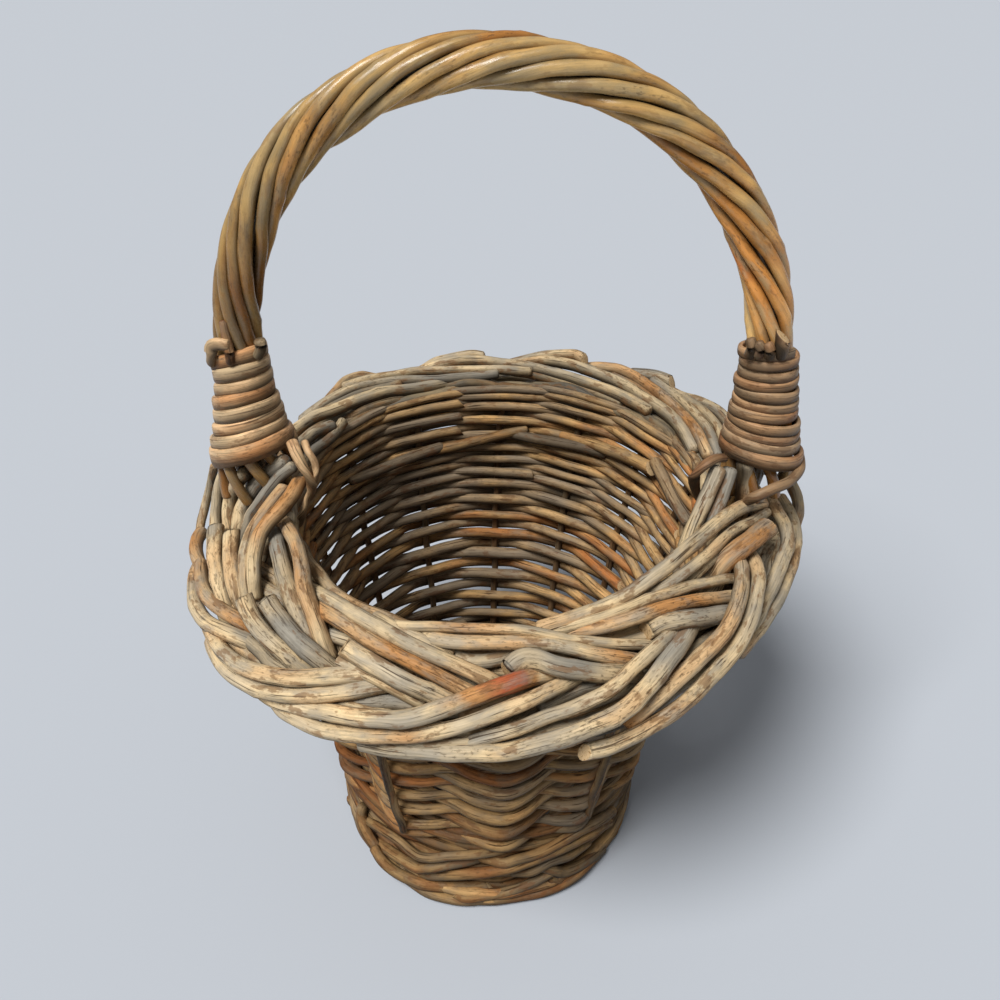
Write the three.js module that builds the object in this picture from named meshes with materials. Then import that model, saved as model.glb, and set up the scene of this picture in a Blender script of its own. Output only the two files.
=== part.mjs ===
// Round gathering basket of willow rods: a woven wall on upright stakes, a
// plaited border, and a roped handle that two bindings hold to the border.
// Millimetres, +Z up, the middle of the foot at the origin, handle in the XZ
// plane, front towards -Y.
import * as THREE from 'three';

const FULL_TURN = 2 * Math.PI;

// What touches keeps this much air.
const seatGap = 0.3;

// Middle of the border.
const rimRadius = 104;
const rimHeight = 173;

// Wall: the circle of stakes widens from the foot to the border.
const stakeCircleFoot = 65.5;
const rimOverhang = 11.5;
const stakeCircleTop = rimRadius - rimOverhang;
const wallFlarePower = 1.5;

// Stakes, and the two bow legs that stand in a stake's place.
const backGaps = 8;
const frontGaps = 6;
const stakeCount = backGaps + frontGaps;
const stakeRadius = 2.4;
const stakeFootHeight = 0.6;
const stakeSides = 5;
const stakeStep = 22;

// Foot: a rod outside and one inside the stakes, both with a flat underside,
// and a third on top of the outer one.
const footRodRadius = 3.2;
const footSides = 6;
const footSteps = 32;
const footLevelHeight = 2 * footRodRadius * Math.cos(Math.PI / footSides) + seatGap;

// Rods laid level under the plait, inside and outside the stakes. The outer
// one leaves room for the legs of the bow.
const layRodRadius = 2.9;
const layDrop = 9.5;
const layHeight = rimHeight - layDrop;
const layLegRoom = 0.13;
const laySteps = 36;

// Weave: rods in pairs that chase each other, in front of one stake and
// behind the next, from the foot up to the rods under the plait.
const rodsPerPhase = 6;
const stakesPerRod = 30;
const rowGap = 0.36;
const weaveTopRoom = 2.2;
const weaveFoot = 2 * footLevelHeight;
const weaveTop = layHeight - layRodRadius - weaveTopRoom + rowGap;
const rowPitch = (weaveTop - weaveFoot)
  / (2 * (rodsPerPhase * stakesPerRod + 1) / stakeCount + 2);
const weaveRodRadius = (rowPitch - rowGap) / 2;
const weaveOffset = 6.3;
const weaveSides = 5;
const rodEndTrim = 0.06;

// Two loose rods that lie outside the weave, at the front.
const outerRodRadius = 2.2;
const outerRodFootShare = 0.3;
const outerRodAngles = [-2 * Math.PI / 3, -Math.PI / 3];

// Border: a plait of three strands with two rods each, leaning outwards.
const rimTilt = 0.44;
const plaitReach = 16.2;
const plaitRise = 4.5;
const plaitPower = 0.5;
const plaitTurns = 4;
const plaitPhase = -Math.PI / 2;
const plaitStrands = 3;
const borderRodRadius = 3.1;
const borderRodSpread = borderRodRadius + seatGap / 2;
const borderSteps = 48;
const borderSides = 5;

// Handle: a bow with strands laid round it, on legs that start at the border.
const archLegHeight = 79;
const archShoulderHeight = rimHeight + archLegHeight;
const archLegInset = 2.4;
const archLegLean = 4.1;
const archFootHalfWidth = rimRadius - archLegInset;
const archShoulderHalfWidth = archFootHalfWidth - archLegLean;
const archRise = 96;
const legPower = 1.5;
const bowRadius = 4.0;
const bowSides = 8;
const bowFootHeight = 12;
const bowBorderRoom = 16;
const bowLegSteps = 5;
const bowBorderAcross = -3.4;
const bowSteps = 22;
const ropeFootShare = 0.19;
const ropeFootHeight = rimHeight + archLegHeight * ropeFootShare;
const strandCount = 8;
const strandRadius = 2.3;
const strandSides = 5;
const strandSteps = 26;
const ropeTurns = 2.6;
const ropeRadius = bowRadius + seatGap + strandRadius;

// Bindings: one flat rod wound round each leg, wider towards the border.
const windingSteps = 16;
const windingSides = 6;
const windingGap = 0.8;
const windingHalfThickness = 1.2;
const leftFlare = 6.4;
const rightFlare = 4.6;
const bindings = {
  left: bindingSizes(-1, 9, 0.266, 0.684, leftFlare, '#a8794a'),
  right: bindingSizes(1, 12, 0.253, 0.76, rightFlare, '#8a5f3c'),
};
const flareTop = rimHeight + 0.95 * archLegHeight;
const flarePower = 1.3;

// Bottom: crossed sticks that lie on the inner foot rod, held by two rods
// woven round them.
const stickReach = stakeCircleFoot - stakeRadius - footRodRadius;
const stickSpread = 4.2;
const stickHalfWidth = 3.0;
const stickHalfHeight = 2.5;
const bottomHeight = footLevelHeight + stickHalfHeight;
const bottomRodRadius = 2.4;
const bottomTurns = 2.5;
const bottomSteps = 20;
const bottomSteepness = 2.4;

// Colours of the willow.
const colours = {
  stake: '#7d5f45', weave: '#a58a6a', foot: '#b59b78', border: '#bfa67f',
  bow: '#8f6a45', strand: '#b07c49', bottom: '#9b8060', outer: '#8d7a5e',
};

// Sizes of one binding, whose foot and length are shares of the leg's height.
function bindingSizes(side, loops, footShare, lengthShare, flare, colour) {
  const pitch = archLegHeight * lengthShare / loops;
  return {
    side, loops, pitch, flare, colour,
    bottom: rimHeight + archLegHeight * footShare,
    halfHeight: (pitch - windingGap) / 2,
    halfThickness: windingHalfThickness,
  };
}

// A solid tube along points. The section is a polygon whose half sizes lie
// along the guide direction and across it; a ring closes on itself.
function tube(points, halfAlong, halfAcross, sides, guideAt, ring, turn = 0) {
  const count = points.length;
  const last = count - 1;
  const vertices = [];
  const sizeAt = (size, i) => (typeof size === 'function' ? size(i / last) : size);
  for (let i = 0; i < count; i += 1) {
    const before = ring ? points[(i + last) % count] : points[Math.max(i - 1, 0)];
    const after = ring ? points[(i + 1) % count] : points[Math.min(i + 1, last)];
    const tangent = after.clone().sub(before).normalize();
    const along = guideAt(i, points[i]).clone();
    along.addScaledVector(tangent, -along.dot(tangent)).normalize();
    const across = tangent.clone().cross(along);
    for (let k = 0; k < sides; k += 1) {
      const angle = turn + FULL_TURN * k / sides;
      vertices.push(points[i].clone()
        .addScaledVector(along, sizeAt(halfAlong, i) * Math.cos(angle))
        .addScaledVector(across, sizeAt(halfAcross, i) * Math.sin(angle)));
    }
  }
  const index = [];
  const spans = ring ? count : last;
  for (let i = 0; i < spans; i += 1) {
    const next = (i + 1) % count;
    for (let k = 0; k < sides; k += 1) {
      const other = (k + 1) % sides;
      const a = i * sides + k;
      const b = i * sides + other;
      const c = next * sides + other;
      const d = next * sides + k;
      index.push(a, b, c, a, c, d);
    }
  }
  if (!ring) {
    for (let k = 1; k < sides - 1; k += 1) {
      const end = last * sides;
      index.push(0, k + 1, k, end, end + k, end + k + 1);
    }
  }
  return solid(vertices, index);
}

// A geometry from corner points and triangles.
function solid(vertices, index) {
  const geometry = new THREE.BufferGeometry();
  geometry.setFromPoints(vertices);
  geometry.setIndex(index);
  geometry.computeVertexNormals();
  return geometry;
}

const up = new THREE.Vector3(0, 0, 1);
const backwards = new THREE.Vector3(0, 1, 0);
const guideUp = () => up;
const guideBack = () => backwards;
const guideRound = (_, p) => new THREE.Vector3(-p.y, p.x, 0).normalize();

function polar(radius, angle, height) {
  return new THREE.Vector3(radius * Math.cos(angle), radius * Math.sin(angle), height);
}

// Radius of the circle of stakes at a height.
function stakeCircle(height) {
  const share = Math.max(height, 0) / rimHeight;
  return stakeCircleFoot + (stakeCircleTop - stakeCircleFoot) * share ** wallFlarePower;
}

// Angles of the stakes, the right bow leg first, then round the back.
function stakeAngles() {
  const angles = [];
  for (let i = 0; i < backGaps; i += 1) angles.push(Math.PI * i / backGaps);
  for (let i = 0; i < frontGaps; i += 1) angles.push(Math.PI + Math.PI * i / frontGaps);
  return angles;
}

const angles = stakeAngles();
const firstRowHeight = weaveFoot + weaveRodRadius;

// Where a weaving rod passes the stake of this number, counted on round the
// wall: in front of one stake, behind the next.
function weavePass(number, phase) {
  const height = firstRowHeight + rowPitch * (2 * number / stakeCount + phase);
  const side = (number + phase) % 2 ? 1 : -1;
  const lift = phase * rowPitch * 2 / stakeCount;
  return polar(stakeCircle(height) + side * weaveOffset,
    angles[number % stakeCount], height - lift);
}

// One weaving rod, which starts and ends behind a stake.
function weaveRod(phase, number) {
  const start = number * stakesPerRod + phase;
  const points = [];
  for (let i = 0; i <= stakesPerRod; i += 1) points.push(weavePass(start + i, phase));
  points[0].lerp(points[1], rodEndTrim);
  points[stakesPerRod].lerp(points[stakesPerRod - 1], rodEndTrim);
  return tube(points, weaveRodRadius, weaveRodRadius, weaveSides, guideUp, false);
}

// A point of the border, from the angle round the rim, the distance across
// the plait and the height above its middle.
function borderPoint(angle, across, above) {
  const radius = rimRadius + across * Math.cos(rimTilt) + above * Math.sin(rimTilt);
  const height = rimHeight - across * Math.sin(rimTilt) + above * Math.cos(rimTilt);
  return polar(radius, angle, height);
}

// One rod of a strand of the plait.
function borderRodPoints(strand, side) {
  const points = [];
  for (let i = 0; i < borderSteps; i += 1) {
    const angle = FULL_TURN * i / borderSteps;
    const swing = plaitTurns * angle + plaitPhase + FULL_TURN * strand / plaitStrands;
    const bend = Math.sin(swing) * Math.PI / 2;
    const slope = plaitReach * Math.cos(bend) * Math.cos(swing)
      * plaitTurns * Math.PI / 2 / rimRadius;
    const spread = side * borderRodSpread * Math.sqrt(1 + slope * slope);
    const rise = -Math.sin(2 * swing);
    points.push(borderPoint(angle, plaitReach * Math.sin(bend) + spread,
      plaitRise * Math.sign(rise) * Math.abs(rise) ** plaitPower));
  }
  return points;
}

const borderPaths = [];
for (let strand = 0; strand < plaitStrands; strand += 1) {
  borderPaths.push(borderRodPoints(strand, -1), borderRodPoints(strand, 1));
}

// Distance from a point to the nearest middle line of the border's rods.
function borderDistance(point) {
  const line = new THREE.Line3();
  const near = new THREE.Vector3();
  let least = Infinity;
  for (const path of borderPaths) {
    path.forEach((start, i) => {
      line.set(start, path[(i + 1) % path.length]);
      line.closestPointToPoint(point, true, near);
      least = Math.min(least, near.distanceTo(point));
    });
  }
  return least;
}

// The highest a rod at this angle and offset can end under the border.
function clearTop(angle, offset, rodRadius) {
  const searchStart = rimHeight - 2 * plaitReach;
  const searchStep = 0.5;
  const clear = rodRadius * Math.SQRT2 + borderRodRadius + seatGap;
  let height = searchStart;
  const at = (h) => polar(stakeCircle(h) + offset, angle, h);
  while (height < rimHeight && borderDistance(at(height + searchStep)) > clear) {
    height += searchStep;
  }
  return height;
}

// An upright rod along the wall, from one height to another.
function uprightRod(angle, offset, rodRadius, bottom, top) {
  const steps = Math.max(2, Math.round((top - bottom) / stakeStep));
  const points = [];
  for (let i = 0; i <= steps; i += 1) {
    const height = bottom + (top - bottom) * i / steps;
    points.push(polar(stakeCircle(height) + offset, angle, height));
  }
  return tube(points, rodRadius, rodRadius, stakeSides, guideRound, false);
}

// A level ring with a flat top and underside; level 0 lies on the floor.
function footRod(radius, level) {
  const height = (footLevelHeight - seatGap) / 2 + level * footLevelHeight;
  const points = [];
  for (let i = 0; i < footSteps; i += 1) {
    points.push(polar(radius, FULL_TURN * i / footSteps, height));
  }
  return tube(points, footRodRadius, footRodRadius, footSides, guideUp, true,
    Math.PI / footSides);
}

// A level rod beside the stakes, all the way round or from one angle to another.
function layRod(side, from, to) {
  const ring = to - from >= FULL_TURN;
  const offset = side * (stakeRadius + seatGap + layRodRadius);
  const steps = Math.round(laySteps * (to - from) / FULL_TURN);
  const points = [];
  for (let i = 0; i < (ring ? steps : steps + 1); i += 1) {
    points.push(polar(stakeCircle(layHeight) + offset, from + (to - from) * i / steps,
      layHeight));
  }
  return tube(points, layRodRadius, layRodRadius, weaveSides, guideUp, ring);
}

// Half the width of the arch at a height on its legs.
function legHalfWidth(height) {
  const share = (archShoulderHeight - height) / (archShoulderHeight - rimHeight);
  return archShoulderHalfWidth
    + (archFootHalfWidth - archShoulderHalfWidth) * Math.max(share, 0) ** legPower;
}

// The middle line of the arch above the border, left foot to right foot.
function archCurve() {
  const legSteps = 4;
  const crownSteps = 14;
  const points = [];
  for (let i = 0; i < legSteps; i += 1) {
    const height = ropeFootHeight + (archShoulderHeight - ropeFootHeight) * i / legSteps;
    points.push(new THREE.Vector3(-legHalfWidth(height), 0, height));
  }
  for (let i = 0; i <= crownSteps; i += 1) {
    const angle = Math.PI * (1 - i / crownSteps);
    points.push(new THREE.Vector3(archShoulderHalfWidth * Math.cos(angle), 0,
      archShoulderHeight + archRise * Math.sin(angle)));
  }
  for (let i = legSteps - 1; i >= 0; i -= 1) {
    points.push(new THREE.Vector3(-points[i].x, 0, points[i].z));
  }
  return new THREE.CatmullRomCurve3(points);
}

const arch = archCurve();

// How far the strands stand out from the middle of the rope at a point.
function ropeSpread(point) {
  const binding = point.x < 0 ? bindings.left : bindings.right;
  const share = (flareTop - point.z) / (flareTop - ropeFootHeight);
  return ropeRadius + binding.flare * Math.min(Math.max(share, 0), 1) ** flarePower;
}

// One strand of the rope.
function ropeStrand(number) {
  const points = [];
  for (let i = 0; i <= strandSteps; i += 1) {
    const share = i / strandSteps;
    const centre = arch.getPointAt(share);
    const tangent = arch.getTangentAt(share);
    const outwards = new THREE.Vector3(-tangent.z, 0, tangent.x);
    const turn = FULL_TURN * (number / strandCount + ropeTurns * share);
    const spread = ropeSpread(centre) / Math.cos(Math.PI * ropeTurns / strandSteps);
    points.push(centre.clone()
      .addScaledVector(outwards, spread * Math.cos(turn))
      .addScaledVector(backwards, spread * Math.sin(turn)));
  }
  return tube(points, strandRadius, strandRadius, strandSides, guideBack, false);
}

// The bow: the arch, with legs that go through the plait into the wall.
function bow() {
  const pass = borderPoint(0, bowBorderAcross, 0);
  const left = [];
  for (let i = 0; i <= bowLegSteps; i += 1) {
    const z = bowFootHeight + (rimHeight - bowBorderRoom - bowFootHeight) * i / bowLegSteps;
    left.push(new THREE.Vector3(-stakeCircle(z), 0, z));
  }
  left.push(new THREE.Vector3(-pass.x, 0, pass.z));
  const crown = [];
  for (let i = 0; i <= bowSteps; i += 1) crown.push(arch.getPointAt(i / bowSteps));
  const right = left.map((p) => new THREE.Vector3(-p.x, 0, p.z)).reverse();
  const points = [...left, ...crown, ...right];
  const radii = points.map((p) => (p.z < pass.z ? stakeRadius : bowRadius));
  const radiusAt = (share) => radii[Math.round(share * (points.length - 1))];
  return tube(points, radiusAt, radiusAt, bowSides, guideBack, false);
}

// The middle line of a winding, with a straight stretch at each end.
function windingPoints({ side, loops, bottom, pitch, halfHeight, halfThickness }) {
  const points = [];
  const steps = loops * windingSteps;
  for (let i = 0; i <= steps; i += 1) {
    const turn = FULL_TURN * i / windingSteps;
    const height = bottom + halfHeight + pitch * i / windingSteps;
    const leg = new THREE.Vector3(side * legHalfWidth(height), 0, height);
    const inner = ropeSpread(new THREE.Vector3(leg.x, 0, height - halfHeight))
      + strandRadius + seatGap;
    const radius = (inner + halfThickness) / Math.cos(Math.PI / windingSteps);
    points.push(polar(radius, turn, 0).add(leg));
  }
  const straight = 2 * halfHeight;
  const first = points[0].clone().sub(points[1]).setLength(straight).add(points[0]);
  const end = points.at(-1).clone().sub(points.at(-2)).setLength(straight).add(points.at(-1));
  return [first, ...points, end];
}

// Least air between the turns of a winding, measured on its points.
function leastGap(points, { halfHeight }) {
  const line = new THREE.Line3();
  const near = new THREE.Vector3();
  const apart = Math.round(windingSteps / 2);
  let least = Infinity;
  points.forEach((point, i) => {
    for (let j = i + apart; j < points.length - 1; j += 1) {
      line.set(points[j], points[j + 1]);
      line.closestPointToPoint(point, true, near);
      least = Math.min(least, near.distanceTo(point) - 2 * halfHeight);
    }
  });
  return least;
}

function winding(binding) {
  return tube(windingPoints(binding), binding.halfHeight, binding.halfThickness,
    windingSides, guideUp, false, Math.PI / windingSides);
}

// A bottom stick with a notch where it crosses the two that lie across it.
function bottomStick(alongX, place) {
  const notchHalf = stickSpread + stickHalfWidth + seatGap;
  const low = -stickHalfHeight;
  const high = stickHalfHeight;
  const half = seatGap / 2;
  const outline = alongX
    ? [[-stickReach, low], [stickReach, low], [stickReach, high], [notchHalf, high],
      [notchHalf, -half], [-notchHalf, -half], [-notchHalf, high], [-stickReach, high]]
    : [[-stickReach, low], [-notchHalf, low], [-notchHalf, half], [notchHalf, half],
      [notchHalf, low], [stickReach, low], [stickReach, high], [-stickReach, high]];
  const shape = new THREE.Shape(outline.map(([x, y]) => new THREE.Vector2(x, y)));
  const geometry = new THREE.ExtrudeGeometry(shape, {
    depth: 2 * stickHalfWidth, bevelEnabled: false,
  });
  geometry.rotateX(Math.PI / 2);
  geometry.translate(0, stickHalfWidth + place, bottomHeight);
  if (!alongX) geometry.rotateZ(Math.PI / 2);
  return geometry;
}

// A rod woven in a flat spiral over and under the bottom sticks.
function bottomRod(phase) {
  const spacing = 2 * bottomRodRadius + seatGap;
  const outermost = stakeCircleFoot - stakeRadius - 2 * footRodRadius
    - 2 * seatGap - bottomRodRadius;
  const swing = stickHalfHeight + seatGap + bottomRodRadius;
  const steps = Math.round(bottomTurns * bottomSteps);
  const points = [];
  for (let i = 0; i <= steps; i += 1) {
    const turn = FULL_TURN * i / bottomSteps;
    const radius = outermost - spacing * (2 * i / bottomSteps + phase);
    const wave = Math.cos(2 * turn + phase * Math.PI);
    const flat = Math.sign(wave) * Math.min(1, bottomSteepness * Math.abs(wave));
    points.push(polar(radius, turn, bottomHeight + swing * flat));
  }
  return tube(points, bottomRodRadius, bottomRodRadius, weaveSides, guideUp, false);
}

// Adds one piece of the basket as a named mesh of its own colour.
function addPiece(group, name, geometry, colour, roughness = 0.75) {
  const material = new THREE.MeshStandardMaterial({ color: colour, roughness, metalness: 0 });
  const mesh = new THREE.Mesh(geometry, material);
  mesh.name = name;
  group.add(mesh);
}

function addWall(group) {
  const legs = [0, backGaps];
  let number = 0;
  angles.forEach((angle, i) => {
    if (legs.includes(i)) return;
    number += 1;
    const top = clearTop(angle, 0, stakeRadius);
    addPiece(group, `stake_${number}`,
      uprightRod(angle, 0, stakeRadius, stakeFootHeight, top), colours.stake);
  });
  for (let i = 0; i < rodsPerPhase; i += 1) {
    addPiece(group, `weaving_rod_${2 * i + 1}`, weaveRod(0, i), colours.weave);
    addPiece(group, `weaving_rod_${2 * i + 2}`, weaveRod(1, i), colours.weave);
  }
  const outside = weaveOffset + weaveRodRadius + seatGap + outerRodRadius;
  outerRodAngles.forEach((angle, i) => {
    const top = clearTop(angle, outside, outerRodRadius);
    addPiece(group, `outer_rod_${i ? 'right' : 'left'}`,
      uprightRod(angle, outside, outerRodRadius, outerRodFootShare * rimHeight, top), colours.outer);
  });
}

function addFootAndBottom(group) {
  const reach = stakeRadius + seatGap + footRodRadius;
  addPiece(group, 'foot_rod_outer', footRod(stakeCircleFoot + reach, 0), colours.foot);
  addPiece(group, 'foot_rod_upper', footRod(stakeCircleFoot + reach + seatGap, 1),
    colours.foot);
  addPiece(group, 'foot_rod_inner', footRod(stakeCircleFoot - reach, 0), colours.foot);
  [-stickSpread, stickSpread].forEach((place, i) => {
    addPiece(group, `bottom_stick_across_${i + 1}`, bottomStick(true, place), colours.bottom);
    addPiece(group, `bottom_stick_along_${i + 1}`, bottomStick(false, place), colours.bottom);
  });
  addPiece(group, 'bottom_rod_1', bottomRod(0), colours.bottom);
  addPiece(group, 'bottom_rod_2', bottomRod(1), colours.bottom);
}

function addBorder(group) {
  borderPaths.forEach((points, i) => {
    const name = `border_rod_${Math.floor(i / 2) + 1}${i % 2 ? 'b' : 'a'}`;
    addPiece(group, name,
      tube(points, borderRodRadius, borderRodRadius, borderSides, guideUp, true),
      colours.border);
  });
  addPiece(group, 'lay_rod_inner', layRod(-1, 0, FULL_TURN), colours.border);
  addPiece(group, 'lay_rod_back', layRod(1, layLegRoom, Math.PI - layLegRoom),
    colours.border);
  addPiece(group, 'lay_rod_front', layRod(1, Math.PI + layLegRoom, FULL_TURN - layLegRoom),
    colours.border);
}

function addHandle(group) {
  addPiece(group, 'handle_bow', bow(), colours.bow, 0.6);
  for (let i = 0; i < strandCount; i += 1) {
    addPiece(group, `handle_strand_${i + 1}`, ropeStrand(i), colours.strand, 0.5);
  }
  for (const [name, binding] of Object.entries(bindings)) {
    addPiece(group, `binding_${name}`, winding(binding), binding.colour, 0.6);
    const gap = leastGap(windingPoints(binding), binding);
    console.log(`binding_${name}: least gap between turns ${gap.toFixed(2)} mm`);
  }
}

function gatheringBasket() {
  const group = new THREE.Group();
  group.name = 'gathering_basket';
  addWall(group);
  addFootAndBottom(group);
  addBorder(group);
  addHandle(group);
  return group;
}

export default gatheringBasket();
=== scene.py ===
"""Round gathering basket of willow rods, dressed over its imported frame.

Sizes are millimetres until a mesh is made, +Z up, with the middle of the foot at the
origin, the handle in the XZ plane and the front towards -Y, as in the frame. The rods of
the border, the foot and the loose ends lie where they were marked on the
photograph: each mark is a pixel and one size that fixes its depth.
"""
import logging
import math
from collections.abc import Sequence
from dataclasses import dataclass, field
from enum import Enum

import bpy
import numpy as np
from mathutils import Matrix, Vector


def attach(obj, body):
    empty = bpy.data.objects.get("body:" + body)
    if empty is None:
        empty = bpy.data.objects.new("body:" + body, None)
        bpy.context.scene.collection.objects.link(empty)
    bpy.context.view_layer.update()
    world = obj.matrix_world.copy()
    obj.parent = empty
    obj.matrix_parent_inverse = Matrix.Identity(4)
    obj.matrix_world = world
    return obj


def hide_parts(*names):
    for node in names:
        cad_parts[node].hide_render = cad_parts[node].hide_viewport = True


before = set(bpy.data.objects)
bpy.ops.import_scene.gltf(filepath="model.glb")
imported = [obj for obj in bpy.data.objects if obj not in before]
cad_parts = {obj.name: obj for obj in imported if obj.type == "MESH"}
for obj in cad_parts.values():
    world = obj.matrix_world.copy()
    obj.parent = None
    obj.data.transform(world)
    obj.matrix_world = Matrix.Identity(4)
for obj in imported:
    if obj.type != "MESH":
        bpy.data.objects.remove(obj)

LOG = logging.getLogger("gathering_basket")
MM = 0.001
FULL_TURN = 2.0 * math.pi
UP = np.array([0.0, 0.0, 1.0])
BACKWARDS = np.array([0.0, 1.0, 0.0])

# The border: a plait that leans outwards, by its tilt in radians.
RIM_RADIUS = 104.0
RIM_TILT = 0.44
RIM_HEIGHT = 173.0

# The wall: a circle of stakes that widens from the foot to the border.
CIRCLE_FOOT = 65.5
CIRCLE_TOP = 92.5
FLARE_POWER = 1.5
STAKE_RADIUS = 1.7
# Degrees from +X. The legs of the bow take the places 0 and 180.
STAKE_DEGREES = (0.0, 18.0, 40.0, 63.0, 88.5, 115.5, 140.0, 162.0,
                 180.0, 209.0, 237.5, 275.5, 302.5, 331.0)
STAKES = len(STAKE_DEGREES)
LEFT_LEG = STAKE_DEGREES.index(180.0)

# How far the real basket leans at each height, to the right and to the back.
LEAN_HEIGHTS = (0.0, 50.0, 110.0, 160.0, 175.0, 195.0, 253.0, 306.0, 350.0)
LEAN_RIGHT = (-5.5, -5.0, -4.2, -2.0, 0.0, 3.2, 1.65, 0.0, -2.2)
LEAN_BACK = (-4.0, -3.0, -1.0, 0.0, 0.0, 0.0, 0.0, 0.0, 0.0)


class Cut(Enum):
    """Which ends of a rod show as a cut face."""

    HIDDEN = (False, False)
    START = (True, False)
    END = (False, True)
    BOTH = (True, True)


class Fix(Enum):
    """What the third value of a mark holds, which gives the mark its depth."""

    ABOVE = "height over the middle surface of the border"
    ACROSS = "distance from the middle line of the border, at the back"
    DEPTH = "distance behind the plane of the handle"
    HEIGHT = "height over the floor"
    WALL = "distance from the circle of stakes, at the front"
    INSIDE = "distance from the circle of stakes, at the back"


@dataclass
class Rod:
    """One willow rod, given by control points.

    Attributes:
        points: Control points of the middle line, N by 3.
        radius: Radius, one number or one for each control point.
        hue: 0 weathered grey, 0.5 tan, 1 orange brown, 1.5 red, one or one for each point.
        tone: 0 for dark, 1 for pale, one or one for each point.
        cut: Which ends show a cut face.
        guide: Direction of the section's first axis, one or one for each control point,
            which also puts the painted shade on the side it points away from.
        aspect: Half size along the guide over the radius.
        power: Exponent of the section's outline, 2 for round and more for flatter sides.
        wobble: How far the middle line strays.
        knots: Height of the leaf scars, as a share of the radius.
    """

    points: np.ndarray
    radius: float | np.ndarray
    hue: float | np.ndarray
    tone: float | np.ndarray
    cut: Cut = Cut.HIDDEN
    guide: np.ndarray = field(default_factory=lambda: UP)
    aspect: float = 1.0
    power: float = 2.0
    wobble: float = 0.25
    knots: float = 0.16


@dataclass(frozen=True)
class RodPlan:
    """A rod that is marked on the photograph.

    Attributes:
        name: What the rod is.
        radii: Its radius at the first and at the last mark.
        hue: 0 for weathered grey, 0.5 for tan, 1 for orange brown, one or first and last.
        tone: 0 for dark, 1 for pale.
        course: Marks as pixel column, pixel row and the value of the fix.
        fix: What fixes the depth of the marks.
        cut: Which ends show a cut face.
        stain: First and last mark of a red stain, if it has one.
        aspect: Half size along the guide over the radius.
    """

    name: str
    radii: tuple[float, float]
    hue: float | tuple[float, float]
    tone: float
    course: tuple[tuple[float, float, float], ...]
    fix: Fix = Fix.ABOVE
    cut: Cut = Cut.HIDDEN
    stain: tuple[int, int] | None = None
    aspect: float = 1.0


@dataclass(frozen=True)
class WillowFinish:
    """Colours and surface of one kind of willow.

    Attributes:
        name: Name of the material.
        grey: sRGB hex of the weathered rods.
        tan: sRGB hex of the plain rods.
        honey: sRGB hex of the orange brown rods.
        bark: sRGB hex of the specks and cracks.
        blotch: Share of the brown blotches.
        speckle: Share of the specks.
        streak: Contrast of the streaks along the rods.
        crack: Share of the cracks.
        shade: Darkness of the painted shade on the side away from the light.
        roughness: Lowest and highest roughness.
        gloss: Strength of the reflection.
        bump: Height of the surface detail in millimetres.
    """

    name: str
    grey: str
    tan: str
    honey: str
    bark: str
    blotch: float = 0.5
    speckle: float = 0.5
    streak: float = 0.3
    crack: float = 1.0
    shade: float = 0.55
    roughness: tuple[float, float] = (0.5, 0.75)
    gloss: float = 0.25
    bump: float = 0.3


Materials = dict[WillowFinish, bpy.types.Material]

# Brown willow of the wall: dull orange browns, almost no shine, and painted shade under each rod.
WEAVE = WillowFinish("weathered_brown_willow", "#8f7e68", "#c19a66", "#ab6e3e", "#38200f",
                     blotch=0.5, speckle=0.35, shade=0.88, gloss=0.12)
# Thick rods that have stood in the sun: pale tan with grey patches, stains and dark specks.
BORDER = WillowFinish("weathered_tan_willow", "#a29a8b", "#dac095", "#c08a54", "#402a15",
                      blotch=0.65, speckle=0.6, shade=0.85)
# Rods that hands have rubbed smooth: golden, few cracks, and a soft shine along each strand.
HANDLE = WillowFinish("polished_golden_willow", "#b09c76", "#d6ad6c", "#bd7f3e", "#3c210e",
                      blotch=0.3, speckle=0.5, streak=0.14, crack=0.2, shade=0.8,
                      roughness=(0.2, 0.34), gloss=0.5, bump=0.12)
# Willow split into skeins, left binding: pale bare wood with a straight, strong grain.
SKEIN_PALE = WillowFinish("split_willow_skein_pale", "#b09a78", "#d3ae82", "#b27f52", "#4a2c16",
                          blotch=0.5, speckle=0.4, streak=0.34, crack=0.8, shade=0.85,
                          roughness=(0.4, 0.55), bump=0.3)
# The same at the right binding, browned by age.
SKEIN_DARK = WillowFinish("split_willow_skein_dark", "#8f7a60", "#a07e5b", "#936541", "#331c0e",
                          blotch=0.5, speckle=0.4, streak=0.36, crack=0.8, shade=0.85,
                          roughness=(0.4, 0.55), bump=0.3)
# Stakes in their bark: plain dark brown, seen only in the gaps of the weave.
STAKE = WillowFinish("brown_willow_stakes", "#7a6950", "#8f6d4a", "#80552f", "#301e0d",
                     speckle=0.4)
# Wood of the bottom: dull and pale, with few marks.
BASE = WillowFinish("pale_willow_base", "#94866c", "#ab8e66", "#a0764a", "#4b3420", speckle=0.4)

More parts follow.
